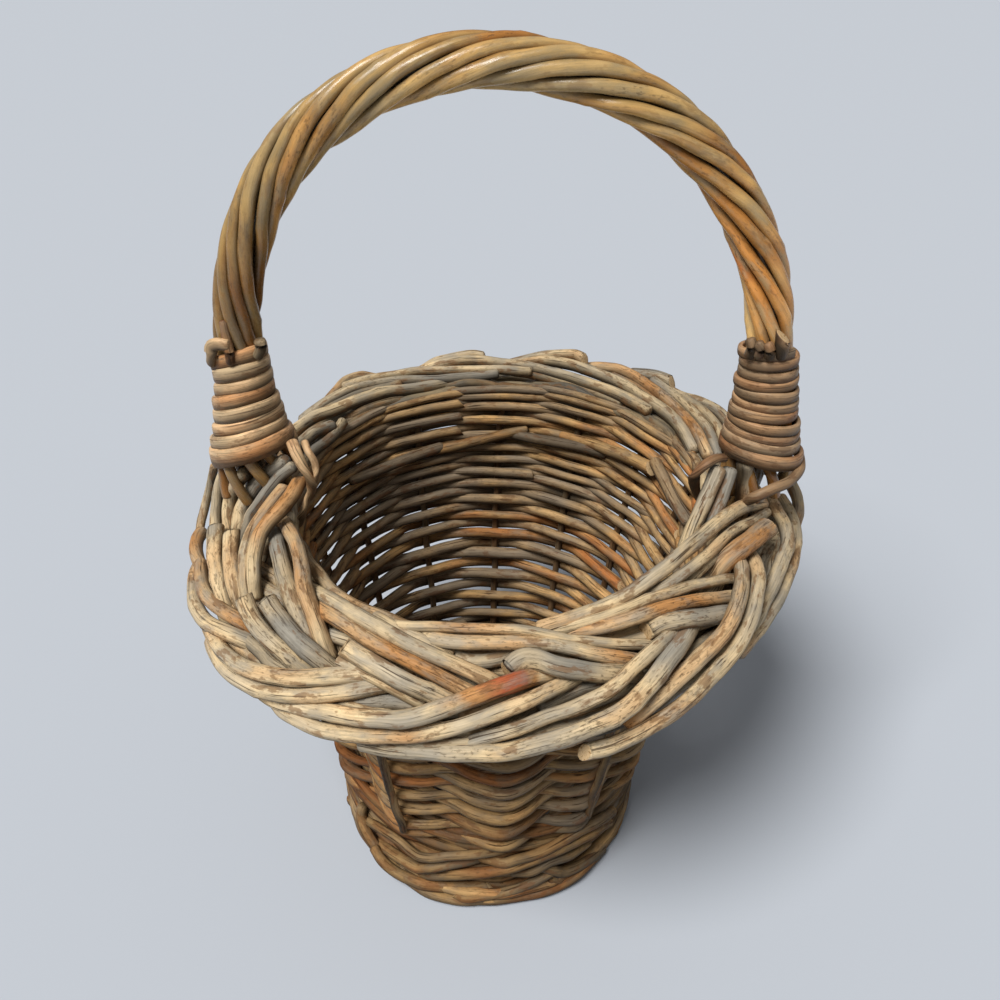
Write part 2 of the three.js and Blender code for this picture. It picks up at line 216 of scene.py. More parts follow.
# The border from the left leg round the front to the right leg.
FRONT_RODS = (
    RodPlan("outer_left_thin", (1.8, 2.0), 0.62, 0.5, ((215, 466, 18), (211, 482, 10), (207, 498, 5),
        (204, 512, 1), (201, 525, -2), (199, 538, -5))),
    RodPlan("outer_left_lump", (2.8, 2.8), 0.8, 0.52, ((202, 532, -3), (197, 541, -2), (196, 551, -3),
        (199, 562, -5), (209, 574, -8))),
    RodPlan("outer_left_1", (2.8, 2.7), 0.78, 0.55, ((201, 564, -5), (201, 576, -3), (204, 590, -1),
        (212, 602, 1), (225, 612, 1), (240, 621, 0), (255, 629, -4))),
    RodPlan("outer_left_2", (2.9, 3.1), 0.48, 0.6, ((199, 566, -9), (195, 578, -7), (194, 592, -6),
        (196, 606, -4), (204, 619, -3), (218, 629, -2), (237, 637, -2), (257, 646, -6))),
    RodPlan("left_a", (2.5, 2.6), 0.48, 0.64, ((227, 469, 20), (221, 481, 15), (218, 493, 11),
        (217, 505, 7), (216, 517, 3), (215, 530, -1))),
    RodPlan("left_b", (2.9, 2.9), 0.4, 0.58, ((244, 473, 20), (236, 485, 15), (231, 497, 11),
        (229, 510, 7), (229, 522, 3), (230, 534, -1))),
    RodPlan("left_grey_1", (3.1, 3.4), 0.1, 0.56, ((285, 461, 18), (270, 473, 14), (257, 486, 11),
        (247, 500, 8), (241, 513, 5), (239, 526, 2), (241, 538, -3))),
    RodPlan("left_grey_2", (2.4, 2.6), 0.08, 0.44, ((293, 467, 16), (279, 478, 13), (268, 491, 10),
        (258, 505, 7), (250, 517, 4), (246, 529, 1), (245, 540, -4))),
    RodPlan("left_orange_1", (2.7, 2.5), (0.85, 0.45), 0.56, ((285, 487, 10), (273, 502, 10),
        (262, 517, 10), (253, 530, 9), (248, 543, 9), (245, 557, 8), (245, 571, 7), (246, 585, 4),
        (249, 598, 0)), cut=Cut.START),
    RodPlan("left_orange_2", (3.1, 2.7), (1.0, 0.4), 0.52, ((301, 479, 9), (291, 496, 9), (280, 510, 10),
        (268, 523, 10), (260, 535, 9), (256, 548, 8), (254, 563, 7), (254, 579, 5), (256, 596, 0)),
        cut=Cut.START),
    RodPlan("left_cut_1", (3.4, 2.9), 0.42, 0.62, ((216, 528, 7), (215, 543, 7), (215, 557, 6),
        (217, 572, 5), (220, 587, 3), (224, 600, 0), (229, 611, -4)), cut=Cut.START),
    RodPlan("left_cut_2", (3.4, 3.1), 0.6, 0.62, ((232, 533, 7), (231, 548, 7), (231, 563, 6),
        (233, 578, 5), (237, 592, 2), (242, 605, -3)), cut=Cut.START),
    RodPlan("left_blunt_1", (3.6, 3.4), 0.2, 0.58, ((244, 598, 9), (249, 612, 8), (257, 625, 7),
        (268, 638, 5), (282, 651, 3), (297, 663, 0), (310, 674, -4)), cut=Cut.START),
    RodPlan("left_blunt_2", (3.7, 3.4), 0.05, 0.46, ((267, 601, 8), (276, 615, 8), (288, 630, 7),
        (303, 645, 5), (318, 658, 2), (334, 671, -3)), cut=Cut.START),
    RodPlan("left_mottled_1", (3.2, 3.8), 0.25, 0.46, ((276, 534, 0), (278, 549, 3), (281, 563, 5),
        (285, 578, 6), (291, 595, 6), (297, 612, 4), (304, 627, 2), (312, 642, 0), (319, 654, -4))),
    RodPlan("left_mottled_2", (2.8, 3.2), 0.7, 0.55, ((284, 522, 0), (293, 537, 4), (299, 552, 7),
        (302, 567, 8), (304, 584, 8), (309, 603, 6), (315, 620, 4), (322, 638, 1), (330, 658, -4))),
    RodPlan("left_under_1", (2.8, 2.8), 0.35, 0.6, ((256, 566, -4), (267, 572, -3), (279, 579, -3),
        (292, 590, -4))),
    RodPlan("left_under_2", (3.0, 3.0), 0.35, 0.58, ((256, 583, -4), (268, 590, -3), (281, 598, -3),
        (296, 609, -4))),
    RodPlan("left_under_3", (2.8, 2.8), 0.35, 0.5, ((222, 634, -6), (238, 647, -6), (254, 658, -6),
        (272, 670, -7))),
    RodPlan("left_under_4", (2.8, 2.8), 0.6, 0.5, ((246, 641, -5), (260, 652, -5), (275, 663, -6),
        (290, 673, -8))),
    RodPlan("front_over_1", (2.7, 3.0), 0.48, 0.58, ((311, 590, 0), (330, 599, 4), (352, 612, 6),
        (372, 623, 7), (391, 634, 7), (411, 645, 6), (434, 656, 5), (461, 667, 3), (486, 679, 0),
        (505, 690, -4))),
    RodPlan("front_over_0", (2.2, 2.3), 0.5, 0.56, ((376, 617, 1), (392, 626, 3), (409, 634, 3),
        (428, 643, 3), (450, 655, 0))),
    RodPlan("front_over_2", (2.9, 2.7), 0.8, 0.56, ((314, 602, -1), (323, 610, 2), (340, 621, 5),
        (360, 634, 6), (380, 646, 7), (403, 658, 6), (427, 670, 5), (452, 683, 3), (475, 694, 0),
        (494, 703, -5))),
    RodPlan("front_blunt_3", (3.6, 3.1), 0.45, 0.7, ((345, 647, 8), (362, 657, 8), (382, 669, 7),
        (403, 681, 6), (427, 692, 3), (452, 703, -1), (470, 711, -5)), cut=Cut.START),
    RodPlan("front_under_blunt", (2.6, 2.4), 0.62, 0.52, ((340, 662, 3), (360, 671, 3), (382, 682, 3),
        (402, 692, 1), (422, 702, -2))),
    RodPlan("front_under_pale", (2.6, 2.6), 0.45, 0.64, ((326, 634, -2), (340, 638, -2), (358, 643, -3))),
    RodPlan("front_left_outer_1", (3.0, 3.2), 0.52, 0.64, ((210, 630, -7), (217, 643, -4), (228, 656, 0),
        (244, 667, 3), (268, 675, 4), (300, 678, 5), (325, 677, 4), (350, 675, 3), (370, 674, 1),
        (390, 673, -4))),
    RodPlan("front_left_outer_2", (2.9, 3.0), 0.48, 0.66, ((212, 642, -9), (217, 655, -6), (227, 670, -4),
        (243, 682, -2), (268, 692, -1), (300, 695, 0), (330, 694, 1), (355, 690, 1), (378, 686, 0),
        (400, 682, -4))),
    RodPlan("front_under_grey", (2.4, 2.4), 0.1, 0.5, ((350, 701, -4), (372, 702, -3), (394, 702, -3),
        (412, 705, -4))),
    RodPlan("front_red", (2.9, 3.5), 0.55, 0.66, ((258, 688, -10), (270, 697, -8), (284, 703, -7),
        (305, 708, -4), (330, 713, -1), (356, 717, 2), (382, 719, 5), (405, 719, 7), (420, 716, 8),
        (437, 710, 9), (456, 703, 9), (478, 695, 9), (500, 687, 9), (518, 681, 8), (535, 677, 4),
        (556, 672, -1)), stain=(11, 13)),
    RodPlan("front_outer_3", (2.9, 2.7), 0.52, 0.62, ((278, 703, -12), (285, 711, -10), (301, 721, -7),
        (322, 730, -6), (350, 734, -4), (382, 736, -2), (412, 735, 0), (434, 732, 2), (453, 728, 3),
        (475, 721, 5), (497, 713, 6), (520, 704, 6), (542, 694, 5), (560, 686, 3), (580, 675, -1))),
    RodPlan("front_outer_4", (2.9, 3.6), 0.28, 0.6, ((362, 743, -11), (390, 748, -9), (420, 751, -7),
        (450, 753, -5), (480, 753, -3), (503, 752, -1), (525, 748, 0), (555, 740, 2), (590, 727, 4),
        (612, 717, 6), (631, 705, 8), (644, 691, 8), (655, 678, 8), (668, 660, 7), (680, 644, 4),
        (690, 627, -1))),
    RodPlan("front_outer_5", (2.4, 2.8), 0.35, 0.6, ((468, 743, -4), (480, 739, -2), (497, 735, 0),
        (515, 730, 1), (546, 717, 3), (571, 709, 5), (591, 700, 6), (609, 691, 7), (621, 681, 8),
        (633, 668, 8), (652, 651, 8), (665, 640, 5), (678, 628, 0))),
    RodPlan("front_inner_1", (1.9, 2.1), 0.6, 0.62, ((378, 621, -1), (396, 625, 3), (434, 627, 5),
        (468, 628, 5), (495, 629, 6), (519, 630, 6), (543, 634, 5), (568, 639, 4), (594, 642, 3),
        (620, 644, 2), (645, 645, 0), (660, 647, -3))),
    RodPlan("front_inner_2", (2.5, 2.7), 0.52, 0.64, ((400, 630, -2), (420, 636, 1), (445, 641, 4),
        (480, 643, 5), (510, 643, 5), (547, 644, 5), (571, 648, 5), (594, 654, 4), (614, 657, 3),
        (634, 660, 0), (650, 663, -3))),
    RodPlan("front_knobbly", (4.0, 3.1), 0.25, 0.48, ((509, 670, 5), (516, 663, 7), (525, 659, 8),
        (537, 660, 8), (555, 666, 8), (575, 670, 7), (597, 673, 5), (617, 673, 2), (637, 676, -3)),
        cut=Cut.START),
    RodPlan("front_under_beige", (2.6, 2.8), 0.5, 0.48, ((447, 655, -3), (470, 661, -2), (490, 661, -1),
        (510, 656, -2), (530, 650, -4))),
    RodPlan("front_under_beige2", (2.4, 2.6), 0.6, 0.5, ((462, 717, -3), (480, 711, -2), (504, 701, -1),
        (531, 691, -2), (556, 682, -4))),
    RodPlan("front_under_grey2", (2.8, 2.8), 0.15, 0.4, ((540, 706, -3), (560, 696, -3), (580, 688, -3),
        (605, 682, -4))),
    RodPlan("inner_right_1", (3.0, 2.8), 0.58, 0.6, ((762, 503, 5), (745, 506, 8), (727, 516, 9),
        (710, 529, 9), (693, 544, 9), (677, 558, 8), (660, 572, 7), (643, 584, 6), (627, 595, 5),
        (610, 604, 4), (585, 614, 3), (560, 622, 2), (540, 628, -1)), cut=Cut.START),
    RodPlan("inner_right_2", (2.4, 2.3), 0.4, 0.52, ((766, 513, 3), (750, 523, 5), (736, 530, 6),
        (724, 538, 7), (713, 549, 7), (697, 563, 7), (680, 576, 6), (663, 587, 4), (647, 595, 1),
        (627, 602, -2))),
    RodPlan("inner_right_2b", (2.2, 2.2), 0.45, 0.5, ((724, 545, 3), (713, 557, 4), (700, 570, 3),
        (685, 584, 0))),
    RodPlan("inner_right_3", (2.0, 2.2), 0.5, 0.56, ((738, 578, 0), (727, 579, 2), (710, 582, 4),
        (687, 587, 5), (663, 595, 6), (647, 600, 6), (630, 607, 6), (610, 615, 5), (580, 624, 3),
        (560, 630, 1), (543, 634, -2))),
    RodPlan("inner_right_4", (2.5, 2.8), 0.72, 0.62, ((739, 596, -1), (730, 597, 1), (707, 599, 4),
        (683, 603, 6), (660, 609, 7), (645, 614, 7), (630, 619, 7), (610, 625, 5), (585, 630, 2),
        (567, 632, -1))),
    RodPlan("inner_right_blunt", (3.7, 3.4), 0.08, 0.5, ((647, 631, 2), (658, 625, 4), (676, 621, 6),
        (703, 617, 5), (728, 614, 2), (742, 612, -2)), cut=Cut.START),
    RodPlan("right_orange_blunt", (4.1, 3.9), 0.88, 0.54, ((768, 527, 8), (753, 539, 9), (737, 551, 8),
        (723, 563, 4), (713, 574, -2)), cut=Cut.START),
    RodPlan("right_pair_1", (2.8, 3.3), 0.62, 0.58, ((737, 557, 2), (741, 568, 6), (742, 581, 8),
        (740, 596, 9), (735, 612, 9), (727, 628, 8), (713, 645, 6), (697, 661, 4), (678, 679, 3),
        (661, 694, 2), (645, 707, 0), (627, 722, -4))),
    RodPlan("right_pair_2", (2.8, 3.0), 0.5, 0.56, ((748, 553, 1), (755, 564, 5), (758, 578, 7),
        (757, 593, 8), (754, 608, 7), (747, 627, 5), (737, 646, 3), (723, 664, 1), (707, 681, 0),
        (690, 698, -1), (673, 712, -2), (655, 723, -3), (635, 735, -4), (610, 746, -5), (586, 752, -6)),
        cut=Cut.END),
    RodPlan("right_outer_1", (2.9, 2.8), 0.38, 0.58, ((770, 500, 3), (778, 513, 4), (785, 527, 4),
        (788, 541, 3), (782, 560, 2), (773, 583, 0), (765, 600, -2), (758, 617, -4), (748, 635, -7)),
        cut=Cut.START),
    RodPlan("right_outer_2", (2.5, 2.9), 0.48, 0.58, ((781, 498, 0), (791, 515, 0), (795, 532, -1),
        (794, 553, -2), (787, 577, -3), (777, 600, -5), (765, 620, -6), (751, 638, -7), (739, 652, -8))),
    RodPlan("right_outer_3", (2.5, 2.5), 0.75, 0.42, ((790, 482, 7), (797, 498, 4), (798, 513, 1),
        (794, 528, -2))),
    RodPlan("right_under_1", (3.1, 3.1), 0.1, 0.44, ((783, 527, -3), (770, 547, -4), (760, 563, -5),
        (757, 580, -6))),
    RodPlan("right_under_2", (3.0, 3.0), 0.2, 0.42, ((727, 540, -3), (716, 560, -3), (703, 577, -3),
        (690, 592, -5))),
    RodPlan("right_under_3", (2.8, 2.8), 0.3, 0.48, ((684, 662, -5), (695, 650, -5), (712, 638, -6),
        (727, 628, -7))),
    RodPlan("right_a", (3.1, 3.0), 0.35, 0.52, ((718, 469, 20), (712, 483, 15), (706, 498, 10),
        (699, 514, 6), (692, 530, 2), (685, 548, -3))),
    RodPlan("right_b", (2.9, 2.8), 0.08, 0.5, ((729, 470, 20), (725, 485, 15), (719, 503, 9),
        (711, 520, 4), (703, 535, -2))),
    RodPlan("right_c", (3.3, 3.3), 0.6, 0.44, ((745, 464, 22), (745, 478, 16), (744, 493, 10),
        (742, 507, 4), (737, 518, -1))),
)

# The border round the back, seen from inside.
BACK_RODS = (
    RodPlan("back_inner_left", (3.1, 2.8), 0.52, 0.56, ((292, 433, -8), (302, 425, -8), (315, 417, -8),
        (337, 409, -9), (360, 400, -10), (382, 393, -11), (404, 390, -11), (426, 387, -10), (450, 383, -7),
        (474, 379, -3)), fix=Fix.ACROSS),
    # back_shade_left and back_shade_right are dark rods that fill gaps in the back of the border with
    # painted shade.
    RodPlan("back_shade_left", (2.4, 2.4), 0.4, 0.2, ((326, 411, -4), (343, 401, -4), (360, 394, -5),
        (380, 389, -6), (400, 385, -7)), fix=Fix.ACROSS),
    RodPlan("back_shade_right", (2.6, 2.6), 0.5, 0.2, ((512, 371, -5), (535, 375, -7), (560, 382, -8),
        (590, 392, -9), (620, 405, -10)), fix=Fix.ACROSS),
    RodPlan("back_grey_left", (2.6, 2.3), 0.15, 0.46, ((303, 420, -2), (311, 413, -2), (330, 400, -2),
        (349, 390, -3), (374, 384, -4), (396, 381, -5), (433, 380, -8), (469, 377, -10), (497, 374, -12)),
        fix=Fix.ACROSS),
    RodPlan("back_loop_left", (2.3, 2.2), 0.8, 0.44, ((315, 416, 2), (324, 405, 4), (337, 390, 8),
        (347, 380, 11), (360, 376, 11), (378, 378, 8), (396, 380, 5)), fix=Fix.ACROSS),
    RodPlan("back_top_left", (2.5, 2.4), 0.5, 0.62, ((345, 387, 2), (374, 378, 1), (396, 375, 1),
        (420, 371, 0), (440, 371, -2), (469, 370, -4), (503, 370, -7), (530, 372, -10)), fix=Fix.ACROSS),
    RodPlan("back_ridge_1", (2.3, 2.8), 0.52, 0.64, ((407, 377, 8), (423, 369, 7), (435, 362, 5),
        (447, 359, 4), (461, 356, 2), (475, 355, 0), (484, 357, -1)), fix=Fix.ACROSS, cut=Cut.END),
    RodPlan("back_ridge_2", (2.6, 2.9), 0.48, 0.62, ((413, 374, 4), (435, 366, 1), (458, 361, -2),
        (480, 361, -3), (500, 363, -4), (534, 368, -7), (568, 377, -9), (599, 387, -10), (624, 397, -11),
        (648, 411, -12)), fix=Fix.ACROSS),
    RodPlan("back_ridge_3", (2.5, 3.1), 0.45, 0.6, ((500, 366, 8), (523, 361, 7), (548, 356, 5),
        (566, 355, 3), (577, 356, 2), (584, 360, 0)), fix=Fix.ACROSS, cut=Cut.END),
    RodPlan("back_ridge_4", (2.8, 3.1), 0.42, 0.58, ((514, 364, 4), (534, 361, 2), (568, 364, -1),
        (593, 372, -3), (619, 383, -5), (647, 400, -7), (670, 416, -9), (684, 433, -11), (693, 450, -12)),
        fix=Fix.ACROSS),
    RodPlan("back_yellow", (2.8, 3.0), 0.72, 0.68, ((582, 369, 8), (599, 368, 7), (619, 370, 5),
        (639, 380, 2), (661, 396, -2), (678, 411, -5), (695, 430, -8), (708, 456, -10)), fix=Fix.ACROSS),
    RodPlan("back_brown", (2.0, 2.2), 0.9, 0.42, ((612, 376, 2), (636, 387, -1), (654, 401, -4),
        (670, 417, -7), (682, 435, -10), (692, 455, -12)), fix=Fix.ACROSS),
    RodPlan("back_stub", (3.3, 3.5), 0.15, 0.55, ((632, 375, 12), (648, 376, 12), (662, 379, 11),
        (671, 383, 11)), fix=Fix.ACROSS, cut=Cut.END),
    RodPlan("back_right_outer", (2.9, 2.9), 0.4, 0.56, ((655, 384, 10), (678, 396, 12), (700, 403, 12),
        (720, 414, 12), (733, 430, 12)), fix=Fix.ACROSS),
    RodPlan("back_right_2", (2.6, 2.8), 0.3, 0.54, ((653, 381, 6), (675, 397, 5), (695, 415, 3),
        (709, 433, 1), (716, 456, -2)), fix=Fix.ACROSS),
    RodPlan("back_right_3", (2.6, 2.8), 0.62, 0.5, ((684, 398, 8), (703, 412, 7), (717, 428, 6),
        (724, 448, 4)), fix=Fix.ACROSS),
    RodPlan("stub_left_1", (2.9, 2.9), 0.15, 0.48, ((294, 449, -12), (305, 440, -13), (315, 432, -14),
        (332, 426, -16)), fix=Fix.ACROSS),
    RodPlan("stub_left_2", (2.4, 2.4), 0.12, 0.45, ((308, 457, -15), (315, 450, -16), (327, 441, -17),
        (337, 431, -17), (343, 422, -16)), fix=Fix.ACROSS),
)

# The foot at the front: long rods that close the weave, and their ends.
FOOT_RODS = (
    RodPlan("foot_pale_left", (2.1, 2.0), 0.45, 0.27, ((350, 803, 1.0), (357, 810, 3.2), (368, 821, 4.7),
        (386, 832, 4.7), (403, 844, 5.2), (411, 851, 5.7), (418, 856, 5.7), (428, 858, 5.2),
        (450, 856, 4.7), (479, 854, 3.7), (505, 850, 0.7)), fix=Fix.WALL),
    RodPlan("foot_pale_right", (2.3, 2.6), 0.6, 0.24, ((477, 856, -0.3), (491, 860, 2.7), (505, 863, 5.2),
        (515, 860, 5.2), (530, 856, 4.7), (557, 844, 4.2), (581, 830, 4.7), (596, 822, 5.2),
        (612, 811, 3.7)), fix=Fix.WALL),
    RodPlan("foot_second_left", (2.7, 2.4), 0.55, 0.22, ((351, 810, 1.0), (356, 819, 3.2), (364, 830, 4.7),
        (372, 838, 4.7), (392, 853, 5.2), (407, 862, 5.7), (418, 868, 5.7), (428, 868, 5.7),
        (442, 866, 4.7), (466, 861, 2.7), (483, 857, -0.3)), fix=Fix.WALL),
    RodPlan("foot_wide_pink", (2.6, 2.5), 0.62, 0.22, ((415, 873, 2.7), (438, 875, 4.2), (466, 874, 5.2),
        (491, 872, 5.7), (505, 869, 5.7), (515, 866, 5.7), (530, 861, 5.2), (561, 848, 4.7),
        (591, 833, 5.2), (608, 822, 3.7)), fix=Fix.WALL),
    RodPlan("foot_cut_end", (2.4, 2.9), 0.5, 0.25, ((374, 848, 17), (380, 858, 14), (397, 873, 10),
        (410, 879, 8.5), (421, 883, 8), (442, 886, 8), (466, 887, 8), (490, 885, 9)), fix=Fix.HEIGHT,
        cut=Cut.END),
    RodPlan("foot_outer_left", (2.6, 2.7), 0.42, 0.25, ((363, 806, 32), (361, 815, 27), (363, 823, 24),
        (371, 839, 17), (386, 858, 11), (406, 877, 6), (425, 890, 3.5), (446, 898, 2.8), (466, 901, 2.8),
        (487, 899, 2.8), (507, 896, 3)), fix=Fix.HEIGHT),
    RodPlan("foot_thin_cut", (2.0, 2.3), 0.55, 0.26, ((456, 894, 7), (464, 898, 7), (479, 897, 7),
        (509, 891, 9), (530, 884, 12), (552, 871, 17)), fix=Fix.HEIGHT, cut=Cut.START),
    RodPlan("foot_pink_low", (2.6, 2.6), 0.72, 0.23, ((479, 900, 3), (499, 899, 3), (520, 896, 3),
        (540, 892, 3.5), (559, 885, 4), (578, 873, 5), (592, 858, 6)), fix=Fix.HEIGHT),
    RodPlan("foot_knotty", (2.7, 2.5), 0.35, 0.18, ((540, 866, 3.7), (550, 869, 5.7), (561, 872, 5.7),
        (577, 867, 5.7), (591, 858, 5.7), (602, 848, 4.7)), fix=Fix.WALL),
    RodPlan("foot_knotty_low", (2.4, 2.4), 0.45, 0.19, ((550, 877, 4.7), (567, 880, 5.7), (581, 876, 5.7),
        (600, 862, 4.7)), fix=Fix.WALL),
    RodPlan("foot_knotty_mid", (2.2, 2.2), 0.3, 0.16, ((512, 872, 3.7), (530, 872, 5.7), (549, 862, 5.7),
        (568, 856, 5.7), (588, 842, 4.7)), fix=Fix.WALL),
)

# Two thin loose rods that lie on the wall at the front.
OUTER_LEFT = RodPlan("outer_rod_left", (2.0, 1.7), 0.4, 0.62, ((364, 704, 7), (371, 725, 8),
    (377, 742, 8.5), (382, 760, 8.5), (387, 778, 8.5), (392, 797, 8.5), (399, 816, 8), (404, 830, 6)),
    fix=Fix.WALL)
OUTER_RIGHT = RodPlan("outer_rod_right", (1.7, 1.4), 0.5, 0.58, ((614, 716, 7), (610, 738, 8),
    (606, 757, 8.3), (599, 779, 8), (592, 798, 7.2), (588, 816, 5)), fix=Fix.WALL)

# Ends of weaving rods that show inside the back wall.
INSIDE_RODS = (
    RodPlan("inside_butt_right", (2.4, 3.2), 0.58, 0.58, ((562, 436, -5), (585, 442, -7), (605, 449, -8),
        (627, 457, -9), (650, 468, -9)), fix=Fix.INSIDE, cut=Cut.END),
    RodPlan("inside_grey_right", (2.2, 3.0), 0.0, 0.32, ((509, 433, -5), (526, 437, -8), (554, 442, -9),
        (582, 447, -8), (605, 453, -5)), fix=Fix.INSIDE),
    RodPlan("inside_pink_left", (2.6, 2.2), 0.6, 0.46, ((433, 451, -5), (452, 447, -8), (481, 440, -9),
        (509, 433, -7), (526, 430, -5)), fix=Fix.INSIDE, cut=Cut.START),
    RodPlan("inside_grey_left", (2.4, 2.8), 0.05, 0.38, ((351, 481, -6), (379, 470, -8), (413, 457, -8),
        (441, 447, -6)), fix=Fix.INSIDE),
    RodPlan("inside_upright", (2.8, 3.0), 0.05, 0.5, ((655, 462, -7), (662, 475, -9), (670, 492, -9),
        (678, 507, -9), (688, 522, -7)), fix=Fix.INSIDE),
)

# Loose ends of the bindings.
LEFT_TAILS = (
    RodPlan("tail_left_1", (2.3, 2.0), 0.5, 0.92, ((292, 442, -15), (296, 453, -19), (302, 465, -21),
        (309, 478, -21), (312, 488, -20), (308, 498, -19), (303, 512, -19), (299, 523, -16)), fix=Fix.DEPTH,
        cut=Cut.END, aspect=0.7),
    RodPlan("tail_left_2", (1.5, 1.3), 0.45, 0.84, ((305, 442, -13), (308, 451, -17), (314, 461, -19),
        (316, 475, -20), (314, 487, -19), (310, 497, -16)), fix=Fix.DEPTH, cut=Cut.END, aspect=0.8),
)
RIGHT_TAILS = (
    RodPlan("skein_loop", (2.4, 2.4), 0.8, 0.52, ((723, 458, -15), (715, 459, -18), (705, 465, -20),
        (695, 475, -20), (694, 483, -18), (697, 494, -16), (704, 503, -12)), fix=Fix.DEPTH, aspect=0.7),
    RodPlan("skein_strand", (2.1, 2.1), 0.5, 0.62, ((796, 448, 2), (799, 457, -2), (800, 466, -7),
        (797, 474, -13), (787, 483, -19), (772, 489, -22), (757, 496, -23), (747, 501, -18)), fix=Fix.DEPTH,
        cut=Cut.END),
)
# Ends of strands that stand out of the top of the bindings.
LEFT_ENDS = (
    RodPlan("folded_skein", (1.6, 1.6), 0.45, 0.66, ((211, 362, -7), (211, 354, -9), (211, 347, -9),
        (217, 344, -10), (228, 345, -11)), fix=Fix.DEPTH, aspect=1.5),
    RodPlan("grey_knob", (2.0, 2.2), 0.1, 0.4, ((258, 356, -7), (261, 348, -8), (260, 341, -8)),
        fix=Fix.DEPTH),
    RodPlan("red_strand", (1.9, 1.7), 1.3, 0.36, ((231, 362, -10), (229, 350, -10.5), (226, 336, -9),
        (224, 322, -8)), fix=Fix.DEPTH),
)
RIGHT_ENDS = (
    RodPlan("slanted_cut", (2.3, 2.7), 0.4, 0.72, ((781, 356, -10), (782, 347, -11), (783, 338, -11)),
        fix=Fix.DEPTH, cut=Cut.END),
    RodPlan("knob_1", (1.9, 2.0), 0.4, 0.5, ((749, 356, -8), (752, 347, -9), (750, 340, -8)),
        fix=Fix.DEPTH),
    RodPlan("knob_2", (1.9, 2.1), 0.35, 0.55, ((758, 356, -10), (761, 349, -10.5), (758, 344, -10)),
        fix=Fix.DEPTH),
    RodPlan("knob_3", (2.0, 2.3), 0.45, 0.52, ((769, 357, -11), (770, 350, -11.5), (768, 345, -10.5)),
        fix=Fix.DEPTH),
)


def linear(code: str) -> tuple[float, float, float, float]:
    """Turns an sRGB colour, "#rrggbb", into linear values with an alpha of 1."""
    parts = [int(code[i:i + 2], 16) / 255 for i in (1, 3, 5)]
    return (*(v / 12.92 if v <= 0.04045 else ((v + 0.055) / 1.055) ** 2.4 for v in parts), 1.0)


def polar(radius: np.ndarray, angle: np.ndarray, height: np.ndarray) -> np.ndarray:
    """Gives points, one row each, at distances from the axis, angles from +X and heights."""
    radius, angle, height = np.broadcast_arrays(radius, angle, height)
    return np.stack([radius * np.cos(angle), radius * np.sin(angle), height], axis=-1)


def circle_at(height: np.ndarray) -> np.ndarray:
    """Gives the radius of the circle of stakes, which grows with a power of the height."""
    share = np.clip(height, 0.0, None) / RIM_HEIGHT
    return CIRCLE_FOOT + (CIRCLE_TOP - CIRCLE_FOOT) * share ** FLARE_POWER


def stake_angle(count: np.ndarray) -> np.ndarray:
    """Gives the angle of a stake, counted on round the wall from the right leg.

    Args:
        count: Number of the stake, which may pass the last one and may be a fraction.

    Returns:
        The angle in radians, which grows with the count.
    """
    table = np.radians([*STAKE_DEGREES, 360.0])
    turns = np.floor(np.asarray(count) / STAKES)
    return np.interp(count - turns * STAKES, np.arange(STAKES + 1), table) + FULL_TURN * turns


def border_point(angle: np.ndarray, across: np.ndarray, above: np.ndarray) -> np.ndarray:
    """Gives a point of the border.

    Args:
        angle: Angle round the rim in radians.
        across: Distance from the middle of the plait, outwards.
        above: Height over the plait's middle surface.

    Returns:
        Points, one row each.
    """
    radius = RIM_RADIUS + across * math.cos(RIM_TILT) + above * math.sin(RIM_TILT)
    height = RIM_HEIGHT - across * math.sin(RIM_TILT) + above * math.cos(RIM_TILT)
    return polar(radius, angle, height)


def border_normal(angle: np.ndarray) -> np.ndarray:
    """Gives unit vectors, one row each, that face away from the plait at angles in radians."""
    return polar(math.sin(RIM_TILT), angle, math.cos(RIM_TILT))


def leaned(points: np.ndarray) -> np.ndarray:
    """Moves points by the basket's lean at their height.

    Args:
        points: Points, one row each.

    Returns:
        The moved points.
    """
    moved = np.array(points, dtype=float)
    moved[:, 0] += np.interp(points[:, 2], LEAN_HEIGHTS, LEAN_RIGHT)
    moved[:, 1] += np.interp(points[:, 2], LEAN_HEIGHTS, LEAN_BACK)
    return moved


def unit(vectors: np.ndarray) -> np.ndarray:
    """Scales vectors, one row each, to length 1."""
    return vectors / np.maximum(np.linalg.norm(vectors, axis=-1, keepdims=True), 1e-9)


def smooth_line(points: np.ndarray, spacing: float) -> tuple[np.ndarray, np.ndarray, np.ndarray]:
    """Draws a smooth curve through control points.

    Between two points it is a cubic whose slopes are the mean slopes of the chords there.

    Args:
        points: Control points, one row each.
        spacing: Distance between the points of the curve.

    Returns:
        The curve, its lengths along the chords, and those of the control points.
    """
    steps = np.linalg.norm(np.diff(points, axis=0), axis=1)
    knots = np.concatenate([[0.0], np.cumsum(steps)])
    slopes = np.gradient(points, knots, axis=0)
    count = max(int(math.ceil(knots[-1] / spacing)), 4) + 1
    at = np.linspace(0.0, knots[-1], count)
    i = np.clip(np.searchsorted(knots, at, side="right") - 1, 0, len(knots) - 2)
    h = (knots[i + 1] - knots[i])[:, None]
    u = (at - knots[i])[:, None] / h
    line = ((2 * u ** 3 - 3 * u ** 2 + 1) * points[i] + (u ** 3 - 2 * u ** 2 + u) * h * slopes[i]
            + (3 * u ** 2 - 2 * u ** 3) * points[i + 1] + (u ** 3 - u ** 2) * h * slopes[i + 1])
    return line, at, knots


